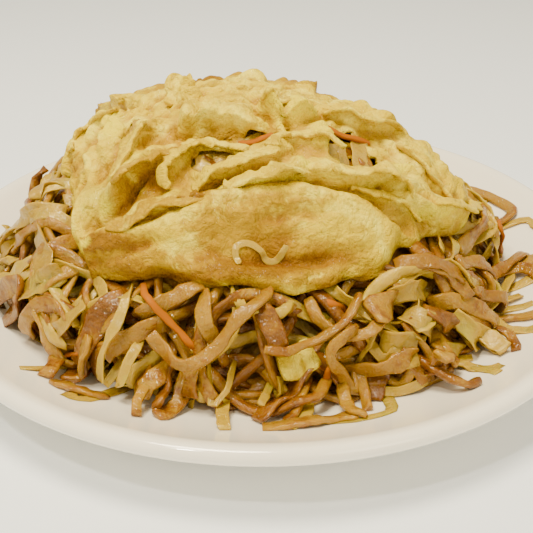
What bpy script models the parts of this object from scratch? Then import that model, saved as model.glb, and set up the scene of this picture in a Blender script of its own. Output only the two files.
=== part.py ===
"""Fried shredded pancake with cabbage and carrot, under a crumpled omelette, on its round plate.

The plate stands on its foot ring at z = 0 with its axis on Z. The heap is described by one skin: a dome
whose points are named by an azimuth (0 is +X, the right side) and a level (0 at the peak, 1 at the foot).
Shreds lie under that skin and the omelette's folds rise from it.
"""

import math

import bmesh
import bpy
import numpy as np
from mathutils import Vector

MM = 0.001

# Plate
PLATE_RADIUS = 140 * MM
PLATE_HEIGHT = 26 * MM
LIP_RADIUS = 3 * MM
WELL_RADIUS = 84 * MM
WELL_FLOOR = 7 * MM
BRIM_POWER = 1.8
PLATE_WALL = 4.5 * MM
FOOT_OUTER = 80 * MM
FOOT_INNER = 74 * MM
PLATE_STEPS = 52

# Heap
HEAP_HALF_X = 115.5 * MM
HEAP_HALF_Y = 107.5 * MM
HEAP_FOOT = 8 * MM
HEAP_RISE = 88 * MM
HEAP_POWER = 1.6
PEAK_SHIFT_X = -14 * MM
PEAK_SHIFT_Y = 6 * MM
CORE_INSET_COVERED = 8.5 * MM
CORE_INSET_OPEN = 12.5 * MM
CORE_STEPS = 40
CORE_RINGS = 18

# Shreds
WALK_STEP = 8.5 * MM
LAYER_PITCH = 2 * MM
LAYERS = 5
FIRST_LAYER = 1.6 * MM
SEED = 8

# Starting places turn by the golden angle and step down the slope by the golden section: an even spread.
GOLDEN_ANGLE = math.pi * (3 - math.sqrt(5))
GOLDEN_SHARE = (math.sqrt(5) - 1) / 2

# Omelette
OMELETTE_STEPS = 52
OMELETTE_TOP_RINGS = 23
OMELETTE_INSET = 9.6 * MM
HEM_THICKNESS = 3.5 * MM
GAP = 0.4 * MM

# Level of the omelette's hem at these azimuths, in degrees: it hangs lowest at the front and the right.
HEM_LEVELS = {
    -180: 0.47, -160: 0.45, -145: 0.48, -132: 0.58, -120: 0.61, -108: 0.575, -90: 0.58, -72: 0.605,
    -58: 0.60, -47: 0.55, -36: 0.61, -18: 0.64, 0: 0.65, 25: 0.60, 50: 0.63, 75: 0.57, 100: 0.61,
    125: 0.56, 150: 0.58,
}

# The omelette's sheet lies this far under the skin, and its folds rise from there.
SHEET_LIFT = -2.5 * MM

# Each fold: height, run-out uphill and run-out downhill in mm, then its crest in plan, in mm.
FOLDS = {
    "apron": (8, 17, 5, [(-62, -44), (-40, -62), (-26, -60), (2, -57), (31, -57), (54, -50)]),
    "apron_belly": (6, 12, 10, [(-56, -66), (-22, -76), (8, -78), (34, -72)]),
    "left_band": (7, 5, 7, [(-72, -58), (-56, -62), (-44, -66)]),
    "left_drape": (7, 10, 6, [(-80, -8), (-72, -34), (-62, -50)]),
    "left_ridge": (7, 9, 6, [(-60, -34), (-43, -22), (-20, -14)]),
    "peak": (6, 11, 11, [(-48, -2), (-36, 6), (-18, 6)]),
    "middle_roll": (7, 13, 5, [(-32, -46), (-9, -50), (14, -38), (28, -28)]),
    "right_roll": (7, 11, 5, [(-14, -54), (14, -46), (34, -44), (52, -42), (68, -36), (84, -18)]),
    "yolk_lump": (5, 9, 8, [(0, -8), (16, -4), (24, 4)]),
    "right_shoulder": (6, 12, 8, [(34, -8), (56, 0), (72, 8)]),
    "back_roll": (7, 12, 6, [(-58, 30), (-30, 46), (4, 50), (34, 42)]),
    "back_apron": (7, 16, 6, [(-34, 70), (4, 76), (42, 62), (66, 40)]),
}

# Tears in the omelette: plan centre, half length, half width and turn in degrees, in mm.
TEARS = {
    "left_tear": (-20, -38, 12, 4.5, 10),
    "right_tear": (38, -22, 12, 6.5, -25),
}
TEAR_DEPTH = 4.5 * MM

# Shreds that spill off the heap on to the plate: kind, then the route in mm.
SPILLED = [
    ("pancake", [(70, -30, 34), (88, -38, 30), (98, -52, 22), (110, -58, 18), (118, -52, 20)]),
    ("pancake", [(78, -14, 36), (94, -10, 30), (103, -20, 25), (107, -30, 27), (112, -26, 33)]),
    ("cabbage", [(54, -70, 26), (66, -80, 16), (76, -78, 15), (86, -81, 16), (94, -74, 17)]),
    ("cabbage", [(66, -54, 28), (78, -66, 20), (90, -66, 16), (98, -58, 17)]),
    ("pancake", [(-78, -40, 34), (-92, -46, 22), (-104, -40, 17), (-110, -28, 19), (-106, -16, 24)]),
    ("cabbage", [(-84, -16, 40), (-98, -20, 28), (-108, -8, 21), (-106, 6, 21)]),
    ("pancake", [(-48, -80, 20), (-38, -94, 13), (-22, -102, 11), (-4, -100, 12), (8, -96, 14)]),
]

# Each kind of shred: width, thickness, shortest and longest length in mm, then how many lie on the heap.
SHREDS = {
    "pancake": (8.0, 2.4, 52, 80, 46),
    "cabbage": (5.5, 1.8, 30, 46, 9),
    "carrot": (3.4, 3.0, 26, 36, 5),
}


def clear_scene():
    for obj in list(bpy.data.objects):
        bpy.data.objects.remove(obj, do_unlink=True)


def new_collection(name):
    collection = bpy.data.collections.new(name)
    bpy.context.scene.collection.children.link(collection)
    return collection


def material(name, colour, roughness):
    made = bpy.data.materials.new(name)
    made.use_nodes = True
    shader = made.node_tree.nodes["Principled BSDF"]
    shader.inputs["Base Color"].default_value = (*colour, 1)
    shader.inputs["Roughness"].default_value = roughness
    shader.inputs["Metallic"].default_value = 0
    return made


def add_object(name, mesh, collection, finish):
    obj = bpy.data.objects.new(name, mesh)
    obj.data.materials.append(finish)
    collection.objects.link(obj)
    return obj


def smooth_step(low, high, value):
    share = np.clip((value - low) / (high - low), 0, 1)
    return share * share * (3 - 2 * share)


def plate_height(radius):
    """Height of the plate's upper surface at a radius: a flat well, then a brim that curves up to the lip."""
    brim_end = PLATE_RADIUS - 2 * LIP_RADIUS
    run = np.clip((radius - WELL_RADIUS) / (brim_end - WELL_RADIUS), 0, 1)
    return WELL_FLOOR + (PLATE_HEIGHT - LIP_RADIUS / 4 - WELL_FLOOR) * run**BRIM_POWER


def skin_point(azimuth, level):
    """A point of the heap's skin. azimuth and level may be arrays."""
    height = np.cos(level * math.pi / 2)
    reach = np.hypot(HEAP_HALF_X * np.cos(azimuth), HEAP_HALF_Y * np.sin(azimuth)) * np.sin(level * math.pi / 2)
    return np.stack(
        [
            PEAK_SHIFT_X * height + reach * np.cos(azimuth),
            PEAK_SHIFT_Y * height + reach * np.sin(azimuth),
            HEAP_FOOT + HEAP_RISE * np.maximum(height, 0) ** HEAP_POWER + 0 * reach,
        ],
        axis=-1,
    )


def skin_frame(azimuth, level):
    """Point, direction along the azimuth, direction downhill and outward normal, with the two scales."""
    tiny = 1e-4
    level = np.clip(level, 0.01, 0.995)
    here = skin_point(azimuth, level)
    along = (skin_point(azimuth + tiny, level) - here) / tiny
    down = (skin_point(azimuth, level + tiny) - here) / tiny
    along_scale = np.linalg.norm(along, axis=-1, keepdims=True)
    down_scale = np.linalg.norm(down, axis=-1, keepdims=True)
    normal = np.cross(down, along)
    normal /= np.linalg.norm(normal, axis=-1, keepdims=True)
    return here, along / along_scale, down / down_scale, normal, along_scale, down_scale


def hem_level(azimuth):
    """Level of the omelette's hem, eased between the stated azimuths."""
    stated = np.array(sorted(HEM_LEVELS))
    levels = np.array([HEM_LEVELS[a] for a in stated])
    degrees = (np.degrees(azimuth) + 180) % 360 - 180
    return np.interp(degrees, np.append(stated, 180), np.append(levels, levels[0]))


def distance_to_crest(points, crest):
    """Distance in plan from each point to a crest line, and whether the point is on its uphill side."""
    best = np.full(len(points), np.inf)
    uphill = np.zeros(len(points), bool)
    crest = np.array(crest, float) * MM
    for start, end in zip(crest[:-1], crest[1:]):
        run = end - start
        share = np.clip((points - start) @ run / (run @ run), 0, 1)
        away = points - (start + share[:, None] * run)
        distance = np.linalg.norm(away, axis=1)
        nearer = distance < best
        middle = (start + end) / 2
        inward = np.array([PEAK_SHIFT_X, PEAK_SHIFT_Y]) - middle
        best[nearer] = distance[nearer]
        uphill[nearer] = (away @ inward > 0)[nearer]
    return best, uphill


def fold_lift(points):
    """How far the omelette's folds rise from its sheet at these plan points: the highest fold there counts."""
    lift = np.zeros(len(points))
    for height, run_up, run_down, crest in FOLDS.values():
        distance, uphill = distance_to_crest(points, crest)
        reach = np.where(uphill, run_up, run_down) * MM
        lift = np.maximum(lift, height * MM * (1 - smooth_step(0, 1, distance / reach)))
    for x, y, half_length, half_width, turn in TEARS.values():
        cos, sin = math.cos(math.radians(turn)), math.sin(math.radians(turn))
        dx, dy = points[:, 0] - x * MM, points[:, 1] - y * MM
        reach = np.hypot((dx * cos + dy * sin) / (half_length * MM), (dy * cos - dx * sin) / (half_width * MM))
        lift -= (TEAR_DEPTH + lift) * (1 - smooth_step(0.7, 1.25, reach))
    return lift


def wrinkle(points):
    """Small uneven relief of the fried egg."""
    x, y = points[:, 0] / MM, points[:, 1] / MM
    return 0.7 * MM * (np.sin(x / 5.1 + 1.3 * np.sin(y / 9)) + np.sin(y / 4.3 + 1.7 * np.sin(x / 11)))


def omelette_lift(plan):
    """Height of the omelette's top over the skin at these plan points."""
    return SHEET_LIFT + fold_lift(plan) + wrinkle(plan)


def make_plate(collection, finish):
    """Turned profile: out along the upper surface, round the lip, back along the underside and the foot."""
    brim_end = PLATE_RADIUS - 2 * LIP_RADIUS
    lip = Vector((PLATE_RADIUS - LIP_RADIUS, PLATE_HEIGHT - LIP_RADIUS))
    upper = [0, WELL_RADIUS] + [WELL_RADIUS + (brim_end - WELL_RADIUS) * n / 5 for n in range(1, 6)]
    profile = [(r, float(plate_height(r))) for r in upper]
    for degrees in range(100, -61, -32):
        angle = math.radians(degrees)
        profile.append((lip.x + LIP_RADIUS * math.cos(angle), lip.y + LIP_RADIUS * math.sin(angle)))
    under = [brim_end - (brim_end - FOOT_OUTER) * n / 4 for n in range(4)]
    profile += [(r, float(plate_height(r)) - PLATE_WALL) for r in under]
    foot_top = WELL_FLOOR - PLATE_WALL
    profile += [(FOOT_OUTER, foot_top), (FOOT_OUTER, 0), (FOOT_INNER, 0), (FOOT_INNER, foot_top), (0, foot_top)]

    mesh = bpy.data.meshes.new("plate")
    shape = bmesh.new()
    rim = [shape.verts.new((r, 0, z)) for r, z in profile]
    for first, second in zip(rim[:-1], rim[1:]):
        shape.edges.new((first, second))
    shape.to_mesh(mesh)
    shape.free()
    plate = add_object("plate", mesh, collection, finish)
    turn = plate.modifiers.new("turn", "SCREW")
    turn.axis = "Z"
    turn.steps = turn.render_steps = PLATE_STEPS
    turn.use_merge_vertices = True
    turn.merge_threshold = 0.0001
    turn.use_smooth_shade = True
    return plate


def shaped_sphere(name, steps, rings, place, collection, finish):
    """A UV sphere whose every vertex is moved to place(azimuth, ring), ring 0 at the top."""
    mesh = bpy.data.meshes.new(name)
    shape = bmesh.new()
    bmesh.ops.create_uvsphere(shape, u_segments=steps, v_segments=rings, radius=1)
    azimuth = np.array([math.atan2(v.co.y, v.co.x) for v in shape.verts])
    ring = np.array([round(math.acos(max(-1, min(1, v.co.z))) / math.pi * rings) for v in shape.verts])
    for vertex, point in zip(shape.verts, place(azimuth, ring)):
        vertex.co = point
    shape.to_mesh(mesh)
    shape.free()
    return add_object(name, mesh, collection, finish)


def core_place(azimuth, ring):
    """The heap's bare core: its skin moved inwards, less where the omelette lies on it, with a flat base."""
    side_rings = CORE_RINGS - 3
    level = np.clip(ring / side_rings, 0, 1) * 0.97
    _, _, _, normal, _, _ = skin_frame(azimuth, level)
    covered = 1 - smooth_step(-0.06, 0.02, level - hem_level(azimuth))
    inset = CORE_INSET_OPEN + (CORE_INSET_COVERED - CORE_INSET_OPEN) * covered
    points = skin_point(azimuth, level) - normal * inset[:, None]
    base = ring > side_rings
    shrink = (CORE_RINGS - ring[base]) / (CORE_RINGS - side_rings)
    foot = skin_point(azimuth[base], np.full(base.sum(), 0.97))
    points[base, :2] = foot[:, :2] * shrink[:, None] * 0.88
    points[base, 2] = WELL_FLOOR - 2 * MM
    return points


def omelette_place(azimuth, ring, grow=0.0):
    """Top of the omelette down to its hem, then back under it along the core. grow makes its cutter."""
    hem = hem_level(azimuth)
    level = hem * np.minimum(ring / OMELETTE_TOP_RINGS, 1)
    lift = omelette_lift(skin_point(azimuth, level)[:, :2]) + grow
    under = {
        OMELETTE_TOP_RINGS + 1: (0.985, -HEM_THICKNESS - 2 * grow),
        OMELETTE_TOP_RINGS + 2: (0.94, None),
        OMELETTE_TOP_RINGS + 3: (0.66, None),
        OMELETTE_TOP_RINGS + 4: (0.33, None),
        OMELETTE_TOP_RINGS + 5: (0.0, None),
    }
    for turned, (share, drop) in under.items():
        here = ring == turned
        level[here] = hem[here] * share
        if drop is None:
            lift[here] = -OMELETTE_INSET - grow
        else:
            lift[here] += drop
    level = level + 2.5 * grow / HEAP_HALF_X * (ring >= OMELETTE_TOP_RINGS)
    _, _, _, normal, _, _ = skin_frame(azimuth, level)
    return skin_point(azimuth, level) + normal * lift[:, None]


def make_omelette(collection, finish):
    rings = OMELETTE_TOP_RINGS + 5
    omelette = shaped_sphere("omelette", OMELETTE_STEPS, rings, omelette_place, collection, finish)
    omelette.data.shade_smooth()
    return omelette


def make_cutters(collection, finish):
    """Spaces that the heap keeps clear of: the omelette and the plate, each grown by the gap."""
    rings = OMELETTE_TOP_RINGS + 5
    over = shaped_sphere(
        "omelette_space",
        OMELETTE_STEPS,
        rings,
        lambda azimuth, ring: omelette_place(azimuth, ring, GAP),
        collection,
        finish,
    )
    mesh = bpy.data.meshes.new("plate_space")
    shape = bmesh.new()
    bmesh.ops.create_cone(
        shape, cap_ends=True, segments=PLATE_STEPS, radius1=PLATE_RADIUS, radius2=PLATE_RADIUS, depth=20 * MM
    )
    top = [face for face in shape.faces if face.normal.z > 0.9]
    for _ in range(6):
        top = bmesh.ops.inset_region(shape, faces=top, thickness=8 * MM)["faces"] and top
    for vertex in shape.verts:
        radius = math.hypot(vertex.co.x, vertex.co.y)
        vertex.co.z = float(plate_height(radius)) + GAP if vertex.co.z > 0 else -20 * MM
    shape.to_mesh(mesh)
    shape.free()
    under = add_object("plate_space", mesh, collection, finish)
    for cutter in (over, under):
        cutter.hide_render = True
        cutter.display_type = "WIRE"
    return over, under


def walk(rng, number, length):
    """A wandering route over the skin: azimuth and level at every step. It bends gently, never kinks."""
    steps = max(4, round(length / WALK_STEP))
    share = (number * GOLDEN_SHARE + 0.5) % 1
    azimuth = number * GOLDEN_ANGLE + rng.uniform(-0.15, 0.15)
    level = hem_level(azimuth) + (0.9 - hem_level(azimuth)) * share
    heading = rng.uniform(-math.pi, math.pi)
    bend = rng.uniform(-0.16, 0.16)
    route = []
    for _ in range(steps + 1):
        _, _, _, _, along_scale, down_scale = skin_frame(azimuth, level)
        route.append((azimuth, level))
        azimuth += math.cos(heading) * WALK_STEP / along_scale[0]
        level += math.sin(heading) * WALK_STEP / down_scale[0]
        too_low = smooth_step(0.86, 0.95, level)
        too_high = 1 - smooth_step(-0.06, 0.06, level - hem_level(azimuth))
        astray = math.sin(heading) * (too_low - too_high)
        if astray > 0:
            onward = 1 if math.cos(heading) >= 0 else -1
            heading -= 0.4 * onward * math.sin(heading)
        heading += bend + rng.uniform(-0.12, 0.12)
        level = min(level, 0.965)
    return np.array(route)


def ribbon(name, centre, side, half_width, thickness, collection, finish):
    """A flat shred: a strip of grid laid along its centre line, made solid. side is its width direction."""
    mesh = bpy.data.meshes.new(name)
    shape = bmesh.new()
    bmesh.ops.create_grid(shape, x_segments=len(centre) - 1, y_segments=1, size=1)
    stations = np.arange(len(centre))
    for vertex in shape.verts:
        station = (vertex.co.x + 1) / 2 * (len(centre) - 1)
        across = vertex.co.y * half_width
        at = [float(np.interp(station, stations, centre[:, n] + across * side[:, n])) for n in range(3)]
        floor = float(plate_height(math.hypot(at[0], at[1]))) + GAP + thickness / 2
        vertex.co = (at[0], at[1], max(at[2], floor))
    bmesh.ops.recalc_face_normals(shape, faces=shape.faces)
    shape.to_mesh(mesh)
    shape.free()
    made = add_object(name, mesh, collection, finish)
    solid = made.modifiers.new("thickness", "SOLIDIFY")
    solid.thickness = thickness
    solid.offset = 0
    return made


def width_directions(centre, normal, turn):
    """Across the route and along the skin, turned about the route by turn (radians, one for each point)."""
    tangent = np.gradient(centre, axis=0)
    tangent /= np.linalg.norm(tangent, axis=1, keepdims=True)
    flat = np.cross(normal, tangent)
    flat /= np.linalg.norm(flat, axis=1, keepdims=True)
    raised = np.cross(tangent, flat)
    return flat * np.cos(turn)[:, None] + raised * np.sin(turn)[:, None]


def rounded(stops):
    """A route with its corners cut twice, so that it bends instead of turning."""
    for _ in range(2):
        early = 0.75 * stops[:-1] + 0.25 * stops[1:]
        late = 0.25 * stops[:-1] + 0.75 * stops[1:]
        middle = np.stack([early, late], axis=1).reshape(-1, stops.shape[1])
        stops = np.concatenate([stops[:1], middle[1:-1], stops[-1:]])
    return stops


def lay_shreds(collection, finish):
    """Shreds in crossing layers over the core, then those that spill on to the plate."""
    rng = np.random.default_rng(SEED)
    for kind, (width, thickness, shortest, longest, count) in SHREDS.items():
        for number in range(count):
            route = walk(rng, number, rng.uniform(shortest, longest) * MM)
            here, _, _, normal, _, _ = skin_frame(route[:, 0], route[:, 1])
            layer = number % LAYERS if kind == "pancake" else LAYERS - 1
            phase = rng.uniform(0, 2 * math.pi)
            wave = 1.3 * MM * np.sin(phase + np.arange(len(route)) * 0.9)
            depth = -CORE_INSET_OPEN + FIRST_LAYER + layer * LAYER_PITCH + wave
            centre = here + normal * depth[:, None]
            turn = rng.uniform(-0.5, 0.5) + 0.35 * np.sin(phase + np.arange(len(route)) * 0.5)
            side = width_directions(centre, normal, turn)
            name = f"{kind}_{number:02d}"
            ribbon(name, centre, side, width * MM / 2, thickness * MM, collection, finish)
    for number, (kind, stops) in enumerate(SPILLED):
        width, thickness = SHREDS[kind][:2]
        centre = rounded(np.array(stops, float) * MM)
        up = np.tile([0.0, 0.0, 1.0], (len(centre), 1))
        side = width_directions(centre, up, np.full(len(centre), 0.25))
        ribbon(f"spilled_{number}", centre, side, width * MM / 2, thickness * MM, collection, finish)


def largest_body(mesh):
    """Drops loose scraps, and with them the walls of sealed hollows."""
    shape = bmesh.new()
    shape.from_mesh(mesh)
    unseen = set(shape.faces)
    bodies = []
    while unseen:
        body = set()
        front = [unseen.pop()]
        while front:
            face = front.pop()
            body.add(face)
            near = {other for edge in face.edges for other in edge.link_faces} & unseen
            unseen -= near
            front.extend(near)
        bodies.append(body)
    keep = max(bodies, key=len)
    bmesh.ops.delete(shape, geom=[face for body in bodies if body is not keep for face in body], context="FACES")
    shape.to_mesh(mesh)
    shape.free()


def make_heap(collection, cutters, finish):
    """Core and shreds joined into one solid, cut back from the omelette above and the plate below."""
    shreds = new_collection("shreds")
    lay_shreds(shreds, finish)
    heap = shaped_sphere("shredded_pancake", CORE_STEPS, CORE_RINGS, core_place, collection, finish)
    join = heap.modifiers.new("join", "BOOLEAN")
    join.operation = "UNION"
    join.operand_type = "COLLECTION"
    join.collection = shreds
    join.solver = "MANIFOLD"
    for cutter in cutters:
        cut = heap.modifiers.new(cutter.name, "BOOLEAN")
        cut.operation = "DIFFERENCE"
        cut.object = cutter
        cut.solver = "MANIFOLD"
    graph = bpy.context.evaluated_depsgraph_get()
    joined = bpy.data.meshes.new_from_object(heap.evaluated_get(graph))
    heap.modifiers.clear()
    heap.data = joined
    for shred in list(shreds.objects):
        bpy.data.objects.remove(shred, do_unlink=True)
    bpy.data.collections.remove(shreds)
    largest_body(heap.data)
    return heap


def rest_on_omelette(azimuth, level, half_width, clearance):
    """Centre line of a shred that lies on the omelette, clear of every bump under its width."""
    here, along, down, normal, _, _ = skin_frame(azimuth, level)
    highest = np.full(len(azimuth), -1.0)
    for across in np.linspace(-1.6, 1.6, 9) * half_width:
        for beside in (along, down):
            highest = np.maximum(highest, omelette_lift((here + beside * across)[:, :2]))
    highest = np.maximum(highest, 0.7 * highest.max() + 0.3 * highest)
    return here + normal * (highest + clearance)[:, None], normal


def make_topping(name, stops, width, thickness, collection, finish):
    """A shred on top: stops are (azimuth in degrees, level) along its centre line."""
    route = rounded(np.array(stops, float))
    centre, normal = rest_on_omelette(np.radians(route[:, 0]), route[:, 1], width / 2, thickness / 2 + GAP)
    side = width_directions(centre, normal, np.zeros(len(centre)))
    return ribbon(name, centre, side, width / 2, thickness, collection, finish)


def build():
    clear_scene()
    dish = new_collection("fried_shredded_pancake")
    spaces = new_collection("cutters")
    glaze = material("white_glaze", (0.86, 0.84, 0.79), 0.12)
    fried = material("fried_pancake", (0.62, 0.36, 0.12), 0.45)
    egg = material("fried_egg", (0.83, 0.62, 0.2), 0.5)
    leaf = material("pale_cabbage", (0.72, 0.68, 0.36), 0.3)
    root = material("carrot", (0.8, 0.27, 0.03), 0.35)

    make_plate(dish, glaze)
    make_omelette(dish, egg)
    cutters = make_cutters(spaces, egg)
    make_heap(dish, cutters, fried)
    for cutter in cutters:
        bpy.data.objects.remove(cutter, do_unlink=True)
    make_topping(
        "cabbage_curl",
        [(-98, 0.55), (-96, 0.505), (-90, 0.495), (-86, 0.52), (-82, 0.52), (-77, 0.49)],
        4 * MM,
        1.6 * MM,
        dish,
        leaf,
    )
    make_topping("carrot_left", [(-98, 0.285), (-78, 0.255)], 3 * MM, 2.6 * MM, dish, root)
    make_topping("carrot_right", [(-42, 0.30), (-22, 0.33)], 3 * MM, 2.6 * MM, dish, root)


build()
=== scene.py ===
"""Fried shredded pancake under a crumpled omelette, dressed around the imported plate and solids.

The heap is described by a skin: a dome whose points are named by an azimuth (0 is +X, the right side)
and a level (0 at the peak, 1 at the foot). The omelette is a sheet on that skin with directed folds,
tears and a ragged hem. Shreds are dropped one by one on a height map of the heap, so that each
lies on those before it. What the photograph shows plainly is placed by its pixel, through the camera.
"""

import functools
import math

import bpy
import numpy as np
from mathutils import Matrix, Vector, noise


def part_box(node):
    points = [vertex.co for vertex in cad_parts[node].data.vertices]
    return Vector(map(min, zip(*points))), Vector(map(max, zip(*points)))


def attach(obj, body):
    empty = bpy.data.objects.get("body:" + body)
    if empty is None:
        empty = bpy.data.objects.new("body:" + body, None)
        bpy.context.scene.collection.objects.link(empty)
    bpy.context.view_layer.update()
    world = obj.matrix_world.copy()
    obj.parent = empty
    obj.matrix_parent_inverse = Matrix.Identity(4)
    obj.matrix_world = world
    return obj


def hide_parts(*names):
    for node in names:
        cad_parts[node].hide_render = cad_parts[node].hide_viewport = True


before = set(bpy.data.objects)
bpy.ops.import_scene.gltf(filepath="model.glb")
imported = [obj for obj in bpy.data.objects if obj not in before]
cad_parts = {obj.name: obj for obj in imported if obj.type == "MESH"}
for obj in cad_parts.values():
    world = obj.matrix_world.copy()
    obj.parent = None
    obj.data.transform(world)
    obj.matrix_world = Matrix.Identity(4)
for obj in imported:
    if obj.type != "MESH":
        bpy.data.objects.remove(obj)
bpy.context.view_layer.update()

MM = 0.001
TAU = 2 * math.pi

# Photograph and camera
PHOTO_SIZE = 533
FOCAL_PX = 845.2
CAMERA_PLACE = (0.0, -0.3281, 0.1983)
CAMERA_PITCH = math.radians(29.86)
CAMERA_YAW = math.radians(0.17)
CAMERA_ROLL = math.radians(-0.175)
SENSOR_MM = 36.0

# Plate, read from the frame
PLATE_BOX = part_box("plate")
PLATE_RADIUS = (PLATE_BOX[1][0] - PLATE_BOX[0][0]) / 2
PLATE_HEIGHT = PLATE_BOX[1][2]
PLATE_WALL = 4.5 * MM
FOOT_OUTER = 80 * MM
FOOT_INNER = 74 * MM
LIP_RADIUS = 3 * MM
WELL_RADIUS = 0.6 * PLATE_RADIUS
WELL_FLOOR = 7 * MM
BRIM_END = PLATE_RADIUS - 2 * LIP_RADIUS
BRIM_POWER = 1.8
PLATE_STEPS = 256
# the plate's profile begins and ends at this radius, and small flat faces close it there
PLATE_CENTRE = 1 * MM
# how far what the shreds lie on, the core and the shreds themselves stay above the plate
TERRAIN_GAP = 0.3 * MM
CORE_GAP = 0.25 * MM
SHRED_GAP = 0.2 * MM

# Heap skin
HEAP_HALF_X = 115.5 * MM
HEAP_HALF_Y = 107.5 * MM
HEAP_FOOT = 8 * MM
HEAP_RISE = 88 * MM
HEAP_POWER = 1.6
PEAK_SHIFT_X = -14 * MM
PEAK_SHIFT_Y = 6 * MM
# directions on the skin are read between these levels, as they are lost at its peak and its foot
SKIN_TOP_LEVEL = 0.012
SKIN_LOW_LEVEL = 0.995
# below this level the photograph shows what lies spread on the plate
FRONT_BLEND_LEVEL = 0.84

# Height map of the heap
MAP_AZIMUTHS = 720
MAP_LEVELS = 160
MAP_TOP_LEVEL = 0.2
MAP_LOW_LEVEL = 1.25
# below this level the core runs out on to the plate, by this much round the heap's foot
FOOT_LEVEL = 0.9
SPREAD = 12 * MM
# how deep the core lies under the skin, and under the part of it that the omelette covers
CORE_DEPTH = 17 * MM
CORE_DEPTH_COVERED = 13 * MM
# shreds stay this far under the skin where the omelette covers them, and this close over it elsewhere
UNDER_SHEET = 8.5 * MM
OVER_SKIN = 3 * MM

# Shreds: how far one sinks into those below it, how steeply it may lean, how often its height is
# smoothed, and at how many places across it the pile is read and raised
SAG = 0.5 * MM
STEEPEST = 0.9
SETTLE_ROUNDS = 14
READ_SAMPLES = 7
RAISE_SAMPLES = 13
# share of its half width by which a shred on its edge stands higher
EDGE_SHARE = 0.9
# a shred above the ceiling keeps this share of what it stands too high, within this slack
OVER_CEILING = 0.25
CEILING_SLACK = 2 * MM
# spacing of the points of the loose and of the single shreds
WALK_STEP = 2.8 * MM
ROUTE_STEP = 2 * MM
# share of the loose shreds that end at the lowest level instead of turning, and their least steps
END_SHARE = 0.5
LEAST_STEPS = 6
# half width of a shred for each unit of width in PHOTO_SHREDS
LISTED_HALF_WIDTH = 0.37 * MM

# Omelette: its thickness, how deep its top lies under the skin, and how much further at the peak
SHEET_THICKNESS = 1.8 * MM
SHEET_SINK = 3.6 * MM
PEAK_SETTLE = 3 * MM
# how far its hem turns under, from which share of the sheet on and over which share of it
HEM_TUCK = 3.5 * MM
TUCK_START = 0.93
TUCK_RUN = 0.07
# how ragged its hem is, in levels, and the rims of its tears, as a share of their size
HEM_RAGGED = 0.03
TEAR_RAGGED = 0.35
# how far its folds waver from their lines, in mm, and over which share of a fold each end fades
FOLD_WAVER = 2.4
FOLD_FADE = 0.14
# how much its columns are drawn towards the far side
COLUMN_SHIFT = 0.38
# how creases are found for the painted crease shade: the strength, rounds of smoothing and depth of fine and
# of broad ones
CREASE_SHADE_SCALES = ((0.5, 10, 0.7 * MM), (0.6, 60, 2.2 * MM))
# height of its lumps, crinkles and fine grain
LUMP_HEIGHT = 1.5 * MM
CRINKLE_HEIGHT = 5 * MM
GRAIN_HEIGHT = 0.7 * MM

SEED = 11


def smooth_step(low, high, value):
    share = np.clip((value - low) / (high - low), 0, 1)
    return share * share * (3 - 2 * share)


def unit(vectors):
    return vectors / np.maximum(np.linalg.norm(vectors, axis=-1, keepdims=True), 1e-9)


def grid_points(azimuth, level):
    """Every azimuth with every level, as two flat lists."""
    both = np.meshgrid(azimuth, level, indexing="ij")
    return both[0].ravel(), both[1].ravel()


# Camera ------------------------------------------------------------------------------------------


def camera_axes():
    """Directions right, up and forward of the camera."""
    forward = np.array(
        [
            math.sin(CAMERA_YAW) * math.cos(CAMERA_PITCH),
            math.cos(CAMERA_YAW) * math.cos(CAMERA_PITCH),
            -math.sin(CAMERA_PITCH),
        ]
    )
    right = np.cross(forward, (0, 0, 1))
    right /= np.linalg.norm(right)
    up = np.cross(right, forward)
    cos, sin = math.cos(CAMERA_ROLL), math.sin(CAMERA_ROLL)
    return cos * right + sin * up, cos * up - sin * right, forward


RIGHT, UP, FORWARD = camera_axes()
CAMERA = np.array(CAMERA_PLACE)


def to_pixel(points):
    """Pixel of each point, as the photograph's camera sees it."""
    away = points - CAMERA
    depth = away @ FORWARD
    middle = PHOTO_SIZE / 2
    across = middle + FOCAL_PX * (away @ RIGHT) / depth
    down = middle - FOCAL_PX * (away @ UP) / depth
    return np.stack([across, down], axis=-1)


def make_camera():
    data = bpy.data.cameras.new("camera")
    data.sensor_width = SENSOR_MM
    data.lens = SENSOR_MM * FOCAL_PX / PHOTO_SIZE
    data.clip_start = 0.01
    camera = bpy.data.objects.new("camera", data)
    turn = Matrix((RIGHT, UP, -FORWARD)).transposed().to_4x4()
    camera.matrix_world = Matrix.Translation(CAMERA_PLACE) @ turn
    bpy.context.scene.collection.objects.link(camera)
    bpy.context.scene.camera = camera


# Skin and terrain --------------------------------------------------------------------------------


def plate_height(radius):
    """Height of the plate's upper surface at a radius."""
    run = np.clip((radius - WELL_RADIUS) / (BRIM_END - WELL_RADIUS), 0, 1)
    return WELL_FLOOR + (PLATE_HEIGHT - LIP_RADIUS / 4 - WELL_FLOOR) * run**BRIM_POWER


def foot_reach(azimuth):
    return np.hypot(HEAP_HALF_X * np.cos(azimuth), HEAP_HALF_Y * np.sin(azimuth))


def skin_point(azimuth, level):
    height = np.cos(level * math.pi / 2)
    reach = foot_reach(azimuth) * np.sin(level * math.pi / 2)
    return np.stack(
        [
            PEAK_SHIFT_X * height + reach * np.cos(azimuth),
            PEAK_SHIFT_Y * height + reach * np.sin(azimuth),
            HEAP_FOOT + HEAP_RISE * np.maximum(height, 0) ** HEAP_POWER + 0 * reach,
        ],
        axis=-1,
    )


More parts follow.
